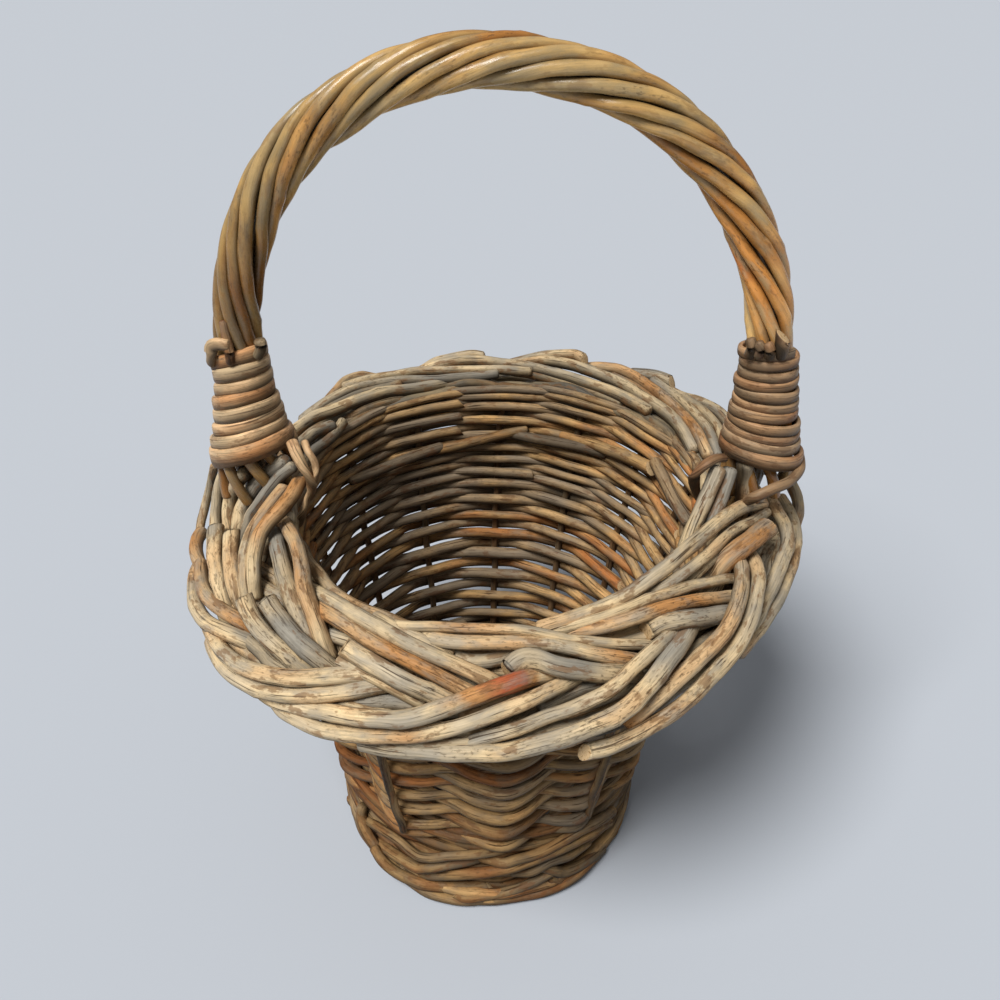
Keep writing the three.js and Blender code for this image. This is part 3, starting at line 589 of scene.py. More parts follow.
@dataclass(frozen=True)
class Viewpoint:
    """The photograph's camera, which also places the marks made on the photograph.

    Attributes:
        place: Where it stands.
        aim: Direction in which it looks.
        focal: Focal length in pixels of the photograph.
        middle: Pixel column and row of its centre.
        first_height: Height at which the search for a point of the wall starts.
        rounds: Rounds of that search.
        floor_gap: Least distance of a rod from the floor.
        hue_wander: How far the hue wanders along a rod.
        stain_hues: Hue at the first and at the last mark of a red stain.
        knots: Height of the leaf scars, as a share of the radius.
    """

    place: tuple[float, float, float] = (0.25, -337.5, 421.2)
    aim: tuple[float, float, float] = (0.0, 0.808, -0.589)
    focal: float = 1000.0
    middle: float = 500.0
    first_height: float = 80.0
    rounds: int = 40
    floor_gap: float = 0.7
    hue_wander: float = 0.12
    stain_hues: tuple[float, float] = (1.3, 1.75)
    knots: float = 0.12

    def ray(self, column: float, row: float) -> np.ndarray:
        """Gives the direction of a pixel, one focal length deep.

        Args:
            column: Pixel column.
            row: Pixel row.

        Returns:
            The direction.
        """
        aim = np.array(self.aim)
        up = np.array([0.0, -aim[2], aim[1]])
        right = np.array([1.0, 0.0, 0.0])
        return (aim + right * (column - self.middle) / self.focal
                + up * (self.middle - row) / self.focal)

    def on_cone(self, ray: np.ndarray, foot: float, slope: float, far: bool,
                middle: np.ndarray) -> np.ndarray:
        """Meets a ray with an upright cone.

        On the cone the radius is foot + slope * height, which makes the length along the ray
        the root of a quadratic.

        Args:
            ray: Direction of the ray.
            foot: Radius of the cone at the floor, which may be below zero.
            slope: Growth of the radius with the height.
            far: Whether the point on the far side is meant.
            middle: Where the cone's axis stands.

        Returns:
            The point.
        """
        here = np.array(self.place) - middle
        base = foot + slope * here[2]
        a = ray[0] ** 2 + ray[1] ** 2 - (slope * ray[2]) ** 2
        b = 2.0 * (here[0] * ray[0] + here[1] * ray[1] - base * slope * ray[2])
        c = here[0] ** 2 + here[1] ** 2 - base ** 2
        root = math.sqrt(max(b * b - 4.0 * a * c, 0.0))
        lengths = sorted(((-b - root) / (2.0 * a), (-b + root) / (2.0 * a)))
        right = [t for t in lengths if t > 0.0 and base + slope * ray[2] * t > 0.0]
        return here + middle + ray * (right[-1] if far else right[0])

    def point(self, column: float, row: float, value: float, fix: Fix) -> np.ndarray:
        """Places a mark.

        On the wall, whose radius depends on the height, it goes half the way to the point that
        the last height gives, round after round.

        Args:
            column: Pixel column.
            row: Pixel row.
            value: Size that fixes the depth.
            fix: What that size is.

        Returns:
            The point.
        """
        here, ray, axis = np.array(self.place), self.ray(column, row), np.zeros(3)
        sine, cosine = math.sin(RIM_TILT), math.cos(RIM_TILT)
        if fix is Fix.HEIGHT:
            return here + ray * (value - here[2]) / ray[2]
        if fix is Fix.DEPTH:
            return here + ray * (value - here[1]) / ray[1]
        if fix is Fix.ABOVE:
            middle = RIM_RADIUS * sine + RIM_HEIGHT * cosine + value
            return self.on_cone(ray, middle / sine, -cosine / sine, False, axis)
        if fix is Fix.ACROSS:
            middle = RIM_RADIUS * cosine - RIM_HEIGHT * sine + value
            return self.on_cone(ray, middle / cosine, sine / cosine, True, axis)
        found = np.array([0.0, 0.0, self.first_height])
        for _ in range(self.rounds):
            radius = float(circle_at(found[2])) + value
            axis = leaned(np.array([[0.0, 0.0, found[2]]]))[0] * [1.0, 1.0, 0.0]
            found = (found + self.on_cone(ray, radius, 0.0, fix is Fix.INSIDE, axis)) / 2.0
        return found

    def rod(self, plan: RodPlan, wobble: float = 0.12) -> Rod:
        """Turns a plan into a rod.

        Args:
            plan: The plan.
            wobble: How far the middle line strays.

        Returns:
            The rod.
        """
        points = np.array([self.point(*mark, plan.fix) for mark in plan.course])
        count = len(points)
        points[:, 2] = np.maximum(points[:, 2], max(plan.radii) + self.floor_gap)
        angle = np.arctan2(points[:, 1], points[:, 0])
        on_border = plan.fix in (Fix.ABOVE, Fix.ACROSS)
        first, last = plan.hue if isinstance(plan.hue, tuple) else (plan.hue, plan.hue)
        wander = np.sin(np.arange(count) * 1.3 + plan.radii[0] * 9)
        hue = np.linspace(first, last, count) + self.hue_wander * wander
        if plan.stain:
            first_mark, last_mark = plan.stain
            hue[first_mark:last_mark + 1] = np.linspace(*self.stain_hues,
                                                        last_mark + 1 - first_mark)
        return Rod(points, np.linspace(*plan.radii, count), hue, plan.tone, plan.cut,
                   guide=border_normal(angle) if on_border else UP, aspect=plan.aspect,
                   wobble=wobble, knots=self.knots)


VIEWPOINT = Viewpoint()


def marked(plans: Sequence[RodPlan]) -> list[Rod]:
    """Turns plans into rods."""
    return [VIEWPOINT.rod(plan) for plan in plans]


def widened(values: np.ndarray, before: int, after: int) -> np.ndarray:
    """Puts copies of the first row before an array and copies of the last row after it."""
    return np.concatenate([np.repeat(values[:1], before, 0), values,
                           np.repeat(values[-1:], after, 0)])


@dataclass
class Rings:
    """The rings of one rod with those that close its ends, one row each.

    Attributes:
        centres: Middle of the ring.
        tangent: Direction of the rod.
        first: First axis of the section.
        second: Second axis of the section.
        radii: Radius of an even surface.
        along: Length along the rod.
        hues: Hue.
        tones: Tone.
        cuts: 1 where cut wood shows, 0 for bark.
        slants: Slope of the ring along its first axis.
    """

    centres: np.ndarray
    tangent: np.ndarray
    first: np.ndarray
    second: np.ndarray
    radii: np.ndarray
    along: np.ndarray
    hues: np.ndarray
    tones: np.ndarray
    cuts: np.ndarray
    slants: np.ndarray


class RodMesh:
    """Gathers rods into one mesh whose points carry the place along and round their rod."""

    # Rings past an end: distance and size as shares of the radius, and 1 where wood shows.
    OPEN_CAP = ((0.25, 0.85, 0.0), (0.42, 0.5, 0.0))
    CUT_CAP = ((0.16, 0.95, 0.0), (0.22, 0.86, 1.0), (0.17, 0.3, 1.0))
    CUT_SLOPES = (0.3, 0.9)
    # How much the radius swells, and the lengths of its waves and of the middle line's.
    SWELLING = 0.045
    SWELLING_WAVES = (61.0, 27.0, 13.0)
    FIRST_WAVES = (47.0, 23.0)
    SECOND_WAVES = (37.0, 19.0)
    # Waves round the section: their number, height over the radius, and length per radian.
    LOBES = ((2, 0.035, 27.0), (3, 0.025, 15.0))
    # Least and most distance between leaf scars, and half their width.
    SCAR_SPACING = (26.0, 58.0)
    SCAR_WIDTH = 1.7
    # Range of the place in the patterns at which a rod starts.
    PATTERN_STARTS = (0.0, 4000.0)

    def __init__(self, name: str, seed: int, sides: int = 12, spacing: float = 1.8) -> None:
        """Starts an empty mesh.

        Args:
            name: Name of the mesh and its object.
            seed: Seed of the rods' irregularities.
            sides: Points round each rod.
            spacing: Distance between the rings of a rod.
        """
        self.name = name
        self.sides = sides
        self.spacing = spacing
        self.rng = np.random.default_rng(seed)
        self.vertices: list[np.ndarray] = []
        self.rod_places: list[np.ndarray] = []
        self.tints: list[np.ndarray] = []
        self.loops: list[np.ndarray] = []
        self.totals: list[np.ndarray] = []
        self.size = 0

    def waves(self, along: np.ndarray, lengths: Sequence[float]) -> np.ndarray:
        """Adds sine waves of random phase.

        Args:
            along: Places along the rod.
            lengths: Wavelengths.

        Returns:
            Values from about -1 to 1.
        """
        phases = self.rng.uniform(0.0, FULL_TURN, len(lengths))
        waves = [np.sin(FULL_TURN * along / length + phase) for length, phase in zip(lengths, phases)]
        return np.sum(waves, axis=0) / len(lengths)

    def rings(self, rod: Rod) -> Rings:
        """Gives the rings of a rod.

        Args:
            rod: The rod.

        Returns:
            The rings, with the caps that close both ends.
        """
        line, along, knots = smooth_line(np.asarray(rod.points, float), self.spacing)
        tangent = unit(np.gradient(line, axis=0))
        guides = np.broadcast_to(rod.guide, (len(knots), 3))
        guide = np.stack([np.interp(along, knots, guides[:, i]) for i in range(3)], axis=-1)
        first = unit(guide - tangent * np.sum(guide * tangent, axis=1, keepdims=True))
        second = np.cross(tangent, first)
        radii, hues, tones = (np.interp(along, knots, np.broadcast_to(value, (len(knots),)))
                              for value in (rod.radius, rod.hue, rod.tone))
        radii = radii * (1.0 + self.SWELLING * self.waves(along, self.SWELLING_WAVES))
        line = line + rod.wobble * (self.waves(along, self.FIRST_WAVES)[:, None] * first
                                    + self.waves(along, self.SECOND_WAVES)[:, None] * second)
        start, end = rod.cut.value
        head = np.array(self.CUT_CAP if start else self.OPEN_CAP)[::-1] * [-1.0, 1.0, 1.0]
        tail = np.array(self.CUT_CAP if end else self.OPEN_CAP)
        caps = np.concatenate([head, np.tile([0.0, 1.0, 0.0], (len(line), 1)), tail])
        slants = np.zeros(len(caps))
        if start:
            slants[:len(head) + 1] = self.rng.uniform(*self.CUT_SLOPES)
        if end:
            slants[-len(tail) - 1:] = -self.rng.uniform(*self.CUT_SLOPES)
        line, tangent, first, second, radii, along, hues, tones = (
            widened(values, len(head), len(tail))
            for values in (line, tangent, first, second, radii, along, hues, tones))
        past = caps[:, 0] * radii
        return Rings(line + past[:, None] * tangent, tangent, first, second, radii * caps[:, 1],
                     along + past, hues, tones, caps[:, 2], slants)

    def unevenness(self, along: np.ndarray, theta: np.ndarray, knots: float) -> np.ndarray:
        """Gives the low waves of a rod's surface and the leaf scars on them.

        Args:
            along: Length along the rod, one row for each ring.
            theta: Angle of each point of a ring.
            knots: Height of the leaf scars, as a share of the radius.

        Returns:
            What the radius is multiplied by, one row for each ring.
        """
        shape = np.ones((len(along), len(theta)))
        for lobes, height, length in self.LOBES:
            shape = shape + height * np.sin(lobes * theta + along / length
                                            + self.rng.uniform(0, 6))
        least, most = self.SCAR_SPACING
        places = np.cumsum(self.rng.uniform(least, most, int(along.max() / least) + 2))
        for place in places[places < along.max()]:
            facing = np.clip(np.cos(theta - self.rng.uniform(0, FULL_TURN)), 0.0, None) ** 2
            shape = shape + knots * np.exp(-((along - place) / self.SCAR_WIDTH) ** 2) * facing
        return shape

    def add(self, rod: Rod) -> None:
        """Adds one rod.

        A ring's outline is a superellipse. At a slanted cut each point slides along the rod by
        its distance along the first axis times the slope.

        Args:
            rod: The rod.
        """
        rings = self.rings(rod)
        count, sides = len(rings.centres), self.sides
        theta = FULL_TURN * np.arange(sides) / sides
        along = rings.along[:, None]
        one, two = (np.sign(turn) * np.abs(turn) ** (2.0 / rod.power)
                    for turn in (np.cos(theta), np.sin(theta)))
        radii = rings.radii[:, None] * self.unevenness(along, theta, rod.knots)
        one = radii * rod.aspect * one
        two = radii * two
        slide = rings.slants[:, None] * one
        points = (rings.centres[:, None, :] + one[..., None] * rings.first[:, None, :]
                  + two[..., None] * rings.second[:, None, :]
                  + slide[..., None] * rings.tangent[:, None, :])
        start = self.rng.uniform(*self.PATTERN_STARTS)
        self.vertices.append(points.reshape(-1, 3))
        # The second value, the distance along the first axis, also sets the painted shade.
        self.rod_places.append(np.stack([along + start + 0 * one, one, two], -1).reshape(-1, 3))
        tints = np.stack([rings.hues, rings.tones, rings.cuts], -1)
        self.tints.append(np.repeat(tints, sides, axis=0))
        grid = self.size + np.arange(count * sides).reshape(count, sides)
        beside = np.roll(grid, -1, axis=1)
        quads = np.stack([grid[:-1], beside[:-1], beside[1:], grid[1:]], -1).reshape(-1)
        self.loops.extend([quads, grid[0][::-1], grid[-1]])
        self.totals.append(np.concatenate([np.full((count - 1) * sides, 4), [sides, sides]]))
        self.size += count * sides

    def build(self, material: bpy.types.Material) -> bpy.types.Object:
        """Makes the object.

        Args:
            material: Its material.

        Returns:
            The object, at the origin, linked to the scene.
        """
        vertices = np.concatenate(self.vertices) * MM
        loops = np.concatenate(self.loops)
        totals = np.concatenate(self.totals)
        mesh = bpy.data.meshes.new(self.name)
        mesh.vertices.add(len(vertices))
        mesh.vertices.foreach_set("co", vertices.astype(np.float32).ravel())
        mesh.loops.add(len(loops))
        mesh.loops.foreach_set("vertex_index", loops.astype(np.int32))
        mesh.polygons.add(len(totals))
        starts = np.concatenate([[0], np.cumsum(totals)[:-1]])
        mesh.polygons.foreach_set("loop_start", starts.astype(np.int32))
        mesh.polygons.foreach_set("use_smooth", np.ones(len(totals), dtype=bool))
        mesh.update(calc_edges=True)
        for name, values in (("rod_place", self.rod_places), ("rod_tint", self.tints)):
            layer = mesh.attributes.new(name, "FLOAT_VECTOR", "POINT")
            layer.data.foreach_set("vector", np.concatenate(values).astype(np.float32).ravel())
        mesh.materials.append(material)
        piece = bpy.data.objects.new(self.name, mesh)
        bpy.context.scene.collection.objects.link(piece)
        return piece

    def dress(self, rods: Sequence[Rod], material: bpy.types.Material, slot: str,
              nodes: Sequence[str]) -> None:
        """Builds the piece from its rods and puts it in the place of its nodes.

        Args:
            rods: Its rods.
            material: Its material.
            slot: Material slot of the record; not used.
            nodes: Names of the nodes it replaces.
        """
        for rod in rods:
            self.add(rod)
        piece = self.build(material)
        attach(piece, "root")
        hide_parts(*nodes)
        LOG.info("%s: %d points in place of %d nodes", self.name, self.size, len(nodes))


class NodeGraph:
    """Adds and joins the nodes of one material."""

    def __init__(self, name: str) -> None:
        """Starts a material with a principled shader.

        Args:
            name: Name of the material.
        """
        self.material = bpy.data.materials.new(name)
        self.material.use_nodes = True
        self.nodes = self.material.node_tree.nodes
        self.links = self.material.node_tree.links
        self.shader = self.nodes["Principled BSDF"]

    def add(self, kind: str, inputs: dict, out: int | str = 0, **settings: object
            ) -> bpy.types.NodeSocket:
        """Adds one node with its settings and links.

        Args:
            kind: Type of the node.
            inputs: Values or sockets by input name or number.
            out: Name or number of the output that is wanted.
            **settings: Properties of the node.

        Returns:
            That output.
        """
        node = self.nodes.new(kind)
        for key, value in settings.items():
            setattr(node, key, value)
        for key, value in inputs.items():
            if isinstance(value, bpy.types.NodeSocket):
                self.links.new(value, node.inputs[key])
            else:
                node.inputs[key].default_value = value
        return node.outputs[out]


# Patterns of the willow: name, size along the rod, size across it, detail.
PATTERNS = (
    ("mottle", 13.0, 5.0, 4.0),     # weathered patches, as large as on the photograph
    ("patch", 47.0, 15.0, 2.0),     # slow change of colour along a rod
    ("streak", 24.0, 0.65, 3.0),    # long grain, a little coarser than the real bark's
    ("speck", 2.4, 0.9, 4.0),       # pores and scars
    ("blotch", 9.0, 3.6, 5.0),      # brown stains
)
# Roughness of their noise.
PATTERN_ROUGHNESS = 0.6
# Masks drawn from them: name, pattern, range in, range out.
MASKS = (
    ("weathered", "mottle", 0.48, 0.64, 0.0, 0.6),
    ("grain", "streak", 0.30, 0.70, 1.0, 0.0),
    ("cracks", "streak", 0.61, 0.67, 0.0, 0.8),
    ("stains", "blotch", 0.55, 0.61, 0.0, 1.0),
    ("pores", "speck", 0.56, 0.64, 0.0, 1.0),
    ("worn", "patch", 0.40, 0.62, 0.0, 1.0),
    ("drift", "patch", 0.25, 0.75, -0.45, 0.45),
    ("pale", "mottle", 0.30, 0.55, 1.18, 0.92),
)
# Hues between which tan, honey and the stain's red come in, and their share then.
HUE_STEPS = ((0.0, 0.5, 1.0), (0.5, 1.0, 1.0), (1.25, 1.5, 0.8))
STAIN_RED = "#a2462c"
# Brightness at tone 0 and at tone 1.
BRIGHTNESS = (0.4, 1.6)
# Heights over the rod's middle at which the painted shade is darkest and at which it ends.
PAINTED_SHADE_REACH = (-1.6, 1.9)
# Brightness that the grain adds for each share of streaks.
GRAIN_CONTRAST = 1.45
# Share of honey in the brown of the blotches, the rest is bark.
BLOTCH_HONEY = 0.35
# Colours of cut wood and of its pores, and the marks between which it takes over.
CUT_WOOD = ("#d0b083", "#a07c4e")
CUT_EDGE = (0.3, 0.9)
# Range of the specks' noise over which the roughness goes from lowest to highest.
ROUGH_RANGE = (0.35, 0.65)
# How much of the relief weathered patches give, and how far cracks and specks sink.
MOTTLE_RELIEF = 0.8
DARK_RELIEF = -0.6


def willow_patterns(graph: NodeGraph, place: bpy.types.NodeSocket
                    ) -> dict[str, bpy.types.NodeSocket]:
    """Adds the patterns and masks of the tables above.

    Args:
        graph: Nodes of the material.
        place: Place along and round the rod.

    Returns:
        Their outputs by name.
    """
    drawn = {}
    for name, along, across, detail in PATTERNS:
        scaled = graph.add("ShaderNodeVectorMath", {
            0: place, 1: (1.0 / along, 1.0 / across, 1.0 / across)}, operation="MULTIPLY")
        drawn[name] = graph.add("ShaderNodeTexNoise", {
            "Vector": scaled, "Scale": 1.0, "Detail": detail, "Roughness": PATTERN_ROUGHNESS})
    for name, source, low, high, to_low, to_high in MASKS:
        drawn[name] = graph.add("ShaderNodeMapRange", {
            0: drawn[source], 1: low, 2: high, 3: to_low, 4: to_high})
    return drawn


def willow_ground(graph: NodeGraph, finish: WillowFinish, drawn: dict[str, bpy.types.NodeSocket],
                  hue: bpy.types.NodeSocket, tone: bpy.types.NodeSocket,
                  lit_side: bpy.types.NodeSocket) -> bpy.types.NodeSocket:
    """Adds the colour of the bark, with painted shade but without its marks.

    Args:
        graph: Nodes of the material.
        finish: Colours and surface.
        drawn: Patterns and masks.
        hue: The rod's hue.
        tone: The rod's tone.
        lit_side: Height over the rod's middle along its first axis, which sets the painted shade.

    Returns:
        The colour.
    """
    add = graph.add
    hue = add("ShaderNodeMath", {0: hue, 1: drawn["drift"]}, operation="ADD")
    colour = linear(finish.grey)
    for (low, high, share), code in zip(HUE_STEPS, (finish.tan, finish.honey, STAIN_RED)):
        step = add("ShaderNodeMapRange", {0: hue, 1: low, 2: high, 3: 0.0, 4: share})
        colour = add("ShaderNodeMix", {0: step, 6: colour, 7: linear(code)}, 2, data_type="RGBA")
    colour = add("ShaderNodeMix", {0: drawn["weathered"], 6: colour, 7: linear(finish.grey)}, 2,
                 data_type="RGBA")
    bright = add("ShaderNodeMapRange", {0: tone, 1: 0.0, 2: 1.0, 3: BRIGHTNESS[0],
                                        4: BRIGHTNESS[1]})
    grain = add("ShaderNodeMath", {0: drawn["grain"], 1: GRAIN_CONTRAST * finish.streak,
                                   2: 1.0 - finish.streak}, operation="MULTIPLY_ADD")
    # Painted shade: each rod darkens from its middle towards the side away from the light.
    painted_shade = add("ShaderNodeMapRange", {0: lit_side, 1: PAINTED_SHADE_REACH[0], 2: PAINTED_SHADE_REACH[1],
                                      3: 1.0 - finish.shade, 4: 1.0})
    for factor in (grain, drawn["pale"], painted_shade):
        bright = add("ShaderNodeMath", {0: bright, 1: factor}, operation="MULTIPLY")
    bright = add("ShaderNodeCombineColor", {0: bright, 1: bright, 2: bright})
    return add("ShaderNodeMix", {0: 1.0, 6: colour, 7: bright}, 2, data_type="RGBA",
               blend_type="MULTIPLY")


def willow(finish: WillowFinish) -> bpy.types.Material:
    """Makes one willow material.

    Dried willow gives the eye a tan ground that drifts from grey to orange along a rod, long
    dark grain and cracks, and brown stains. The side of each rod that faces away from the
    light gets painted shade.

    Args:
        finish: Its colours and surface.

    Returns:
        The material.
    """
    graph = NodeGraph(finish.name)
    add = graph.add
    place = add("ShaderNodeAttribute", {}, "Vector", attribute_name="rod_place")
    tint = add("ShaderNodeAttribute", {}, "Vector", attribute_name="rod_tint")
    hue, tone, cut = (add("ShaderNodeSeparateXYZ", {0: tint}, axis) for axis in "XYZ")
    lit_side = add("ShaderNodeSeparateXYZ", {0: place}, "Y")
    drawn = willow_patterns(graph, place)
    colour = willow_ground(graph, finish, drawn, hue, tone, lit_side)
    stains = add("ShaderNodeMath", {0: drawn["stains"], 1: finish.blotch}, operation="MULTIPLY")
    pores = add("ShaderNodeMath", {0: drawn["pores"], 1: drawn["worn"]}, operation="MULTIPLY")
    pores = add("ShaderNodeMath", {0: pores, 1: finish.speckle}, operation="MULTIPLY")
    cracks = add("ShaderNodeMath", {0: drawn["cracks"], 1: finish.crack}, operation="MULTIPLY")
    dark = add("ShaderNodeMath", {0: pores, 1: cracks}, operation="MAXIMUM")
    brown = add("ShaderNodeMix", {0: BLOTCH_HONEY, 6: linear(finish.bark),
                                  7: linear(finish.honey)}, 2, data_type="RGBA")
    wood = add("ShaderNodeMix", {0: drawn["pores"], 6: linear(CUT_WOOD[0]),
                                 7: linear(CUT_WOOD[1])}, 2, data_type="RGBA")
    cut = add("ShaderNodeMapRange", {0: cut, 1: CUT_EDGE[0], 2: CUT_EDGE[1]})
    for share, over in ((stains, brown), (dark, linear(finish.bark)), (cut, wood)):
        colour = add("ShaderNodeMix", {0: share, 6: colour, 7: over}, 2, data_type="RGBA")
    rough = add("ShaderNodeMapRange", {0: drawn["speck"], 1: ROUGH_RANGE[0], 2: ROUGH_RANGE[1],
                                       3: finish.roughness[0], 4: finish.roughness[1]})
    height = add("ShaderNodeMath", {0: drawn["mottle"], 1: MOTTLE_RELIEF, 2: drawn["streak"]},
                 operation="MULTIPLY_ADD")
    height = add("ShaderNodeMath", {0: dark, 1: DARK_RELIEF, 2: height},
                 operation="MULTIPLY_ADD")
    bump = add("ShaderNodeBump", {"Strength": 1.0, "Distance": finish.bump * MM,
                                  "Height": height})
    for key, value in (("Base Color", colour), ("Roughness", rough), ("Normal", bump)):
        graph.links.new(value, graph.shader.inputs[key])
    graph.shader.inputs["Specular IOR Level"].default_value = finish.gloss
    return graph.material


def node_names(prefix: str) -> list[str]:
    """Lists the frame's nodes whose name starts with a prefix, in order."""
    return sorted(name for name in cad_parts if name.startswith(prefix))


@dataclass(frozen=True)
class WeaveMix:
    """How the rods of one weave differ from each other.

    Attributes:
        lengths: Least number of stakes that a rod passes, and one more than the most.
        hues: Mean and spread of the hue.
        tone_spread: Spread of the tone.
    """

    lengths: tuple[int, int]
    hues: tuple[float, float]
    tone_spread: float


@dataclass
class Wall:
    """The woven wall: stakes, a wale of three rods below and randing above.

    Attributes:
        wale_rounds: Rounds of the wale.
        wale_rise: How far a round of the wale rises.
        wale_level: Share of a round in which the lowest one stays level.
        wale_foot: Height of the wale's first rod.
        wale_radius: Radius of its rods.
        wale_swing: How much a rod lies higher and lower at the two stakes it passes outside.
        wale_offsets: Its distance from the circle of stakes where it passes inside and outside.
        wale_drawn_in: How much nearer it passes at the front, under the marked rods.
        wale_tone: Mean tone of its rods.
        wale_mix: How its rods differ.
        foot_top: Mean height under which a rod of the wale belongs to the foot.
        foot_rings: Radius and height of the two hidden rods of the foot.
        foot_radius: Radius of these rods.
        back_rows: Heights at which every second row of the randing passes, at the back.
        front_rows: The same at the front.
        row_spread: Spread of the height of a row.
        offset: Distance of a passing rod from the circle of stakes.
        outward: Share of that distance at a stake passed inside and at three places on from it.
        sag_back: How much lower a rod passes outside a stake than inside it, at the back.
        sag_front: The same at the front.
        sagging: Share of that at the same four places.
        thickness: Radius of the randing's rods, and what each millimetre of pitch adds.
        thicker_outside: Share by which a rod is thicker where it passes outside.
        thinner_inside: Share by which it is thinner inside, at the front.
        inside_tone: Mean tone inside at the back, where the light falls.
        front_painted_shade: How much darker the front is, as painted shade under the border.
        outside_painted_shade: How much darker the outside is at the back, as painted shade.
        randing_mix: How the randing's rods differ.
        first_stake: Stake at which the weave starts, at the back.
        least_passed: Stakes that a rod has to leave to the one after it.
        overlap: How far a rod's ends run past a stake, in stakes.
        tuck: How far a rod's first end lies further inside, and over how many stakes.
        taper: Share of its radius at a rod's first and last end.
        greying: How much greyer a rod is at the back, and how far back it is so in full.
        hue_limits: Least and most hue.
        tone_limits: Least and most tone.
        stake_heights: Foot and top of the stakes.
    """

    wale_rounds: float = 4.6
    wale_rise: float = 9.2
    wale_level: float = 0.7
    wale_foot: float = 5.4
    wale_radius: float = 2.35
    wale_swing: float = 2.2
    wale_offsets: tuple[float, float] = (4.7, 4.9)
    wale_drawn_in: float = 4.2
    wale_tone: float = 0.17
    wale_mix: WeaveMix = WeaveMix((12, 17), (0.55, 0.15), 0.08)
    foot_top: float = 13.0
    foot_rings: tuple[tuple[float, float], ...] = ((70.0, 3.2), (70.3, 7.8))
    foot_radius: float = 2.6
    back_rows: tuple[float, ...] = (46.0, 49.5, 60.3, 72.4, 85.3, 97.2, 107.7, 117.2, 125.7,
                                    133.4, 139.4, 144.6, 151.0, 158.0, 165.9, 172.0, 176.0, 179.0)
    front_rows: tuple[float, ...] = (44.0, 47.0, 58.5, 70.0, 80.5, 90.0, 100.0, 110.0, 120.0, 128.0,
                                     135.0, 142.0, 148.0, 153.5, 158.5, 163.0, 167.0, 170.5)
    row_spread: float = 0.35
    offset: float = 4.2
    outward: tuple[float, ...] = (-1.0, -0.88, -0.54, 0.42)
    sag_back: float = 5.0
    sag_front: float = 1.8
    sagging: tuple[float, ...] = (0.0, 0.0, 0.1, 0.6)
    thickness: tuple[float, float] = (1.68, 0.15)
    thicker_outside: float = 0.1
    thinner_inside: float = 0.2
    inside_tone: float = 0.88
    front_painted_shade: float = 0.42
    outside_painted_shade: float = 0.57
    randing_mix: WeaveMix = WeaveMix((14, 22), (0.38, 0.2), 0.11)
    first_stake: int = 5
    least_passed: int = 4
    overlap: float = 0.6
    tuck: tuple[float, float] = (1.7, 1.1)
    taper: tuple[float, float] = (1.1, 0.9)
    greying: tuple[float, float] = (0.13, 60.0)
    hue_limits: tuple[float, float] = (0.0, 0.95)
    tone_limits: tuple[float, float] = (0.05, 0.8)
    stake_heights: tuple[float, float] = (3.5, 172.0)

    def between(self, counts: np.ndarray) -> np.ndarray:
        """Gives the stake counts of the control points, four from each stake to the next."""
        return np.concatenate([(counts[:-1, None] + [0.0, 0.25, 0.5, 0.75]).ravel(), counts[-1:]])

    def switched(self, sides: np.ndarray, shares: tuple[float, ...]) -> np.ndarray:
        """Spreads shares over the way between stakes that a rod passes on alternate sides.

        The shares run from a stake passed inside; from one passed outside they run back.

        Args:
            sides: 1 where it passes outside, -1 where inside.
            shares: Shares at a stake passed inside and at three places on from it.

        Returns:
            The share at each control point.
        """
        there = np.array(shares)
        back = np.array([1.0, *shares[:0:-1]])
        each = np.where(sides[:-1, None] < 0, there, back)
        return np.append(each.ravel(), there[0] if sides[-1] < 0 else 1.0)

    def rods(self, points: np.ndarray, places: np.ndarray, sides: np.ndarray, radius: np.ndarray,
             tone: np.ndarray, mix: WeaveMix, rng: np.random.Generator) -> list[Rod]:
        """Cuts a chain into rods whose ends overlap inside the wall.

        Args:
            points: Control points of the chain.
            places: Stake count at each point.
            sides: Side at each stake.
            radius: Mean radius at each point.
            tone: Mean tone at each point.
            mix: How the rods differ.
            rng: Random numbers.

        Returns:
            The rods.
        """
        rods = []
        start = places[0]
        tuck, tuck_reach = self.tuck
        greying, greying_reach = self.greying
        while start < places[-1]:
            end = start + rng.integers(*mix.lengths)
            while int(end - places[0]) < len(sides) and sides[int(end - places[0])] > 0:
                end += 1
            if end > places[-1] - self.least_passed:
                end = places[-1]
            used = (places >= start - self.overlap) & (places <= end + self.overlap)
            part, where = points[used], places[used]
            # Each rod is a little thinner or thicker, and its hue wanders along it.
            taper = np.interp(where, [start, end], self.taper) * rng.uniform(0.93, 1.07)
            if start > places[0]:
                inward = tuck * np.clip(1.0 - (where - where[0]) / tuck_reach, 0.0, 1.0)
                part = part - inward[:, None] * unit(part * [1.0, 1.0, 0.0])
            hue = rng.normal(*mix.hues) + 0.2 * np.sin(where * 0.9)
            hue = hue - greying * np.clip(part[:, 1] / greying_reach, -1.0, 1.0)
            shade = np.clip(tone[used] + rng.normal(0.0, mix.tone_spread), *self.tone_limits)
            rods.append(Rod(leaned(part), radius[used] * taper, np.clip(hue, *self.hue_limits),
                            shade, Cut.BOTH, wobble=0.15, knots=0.12))
            start = end
        return rods

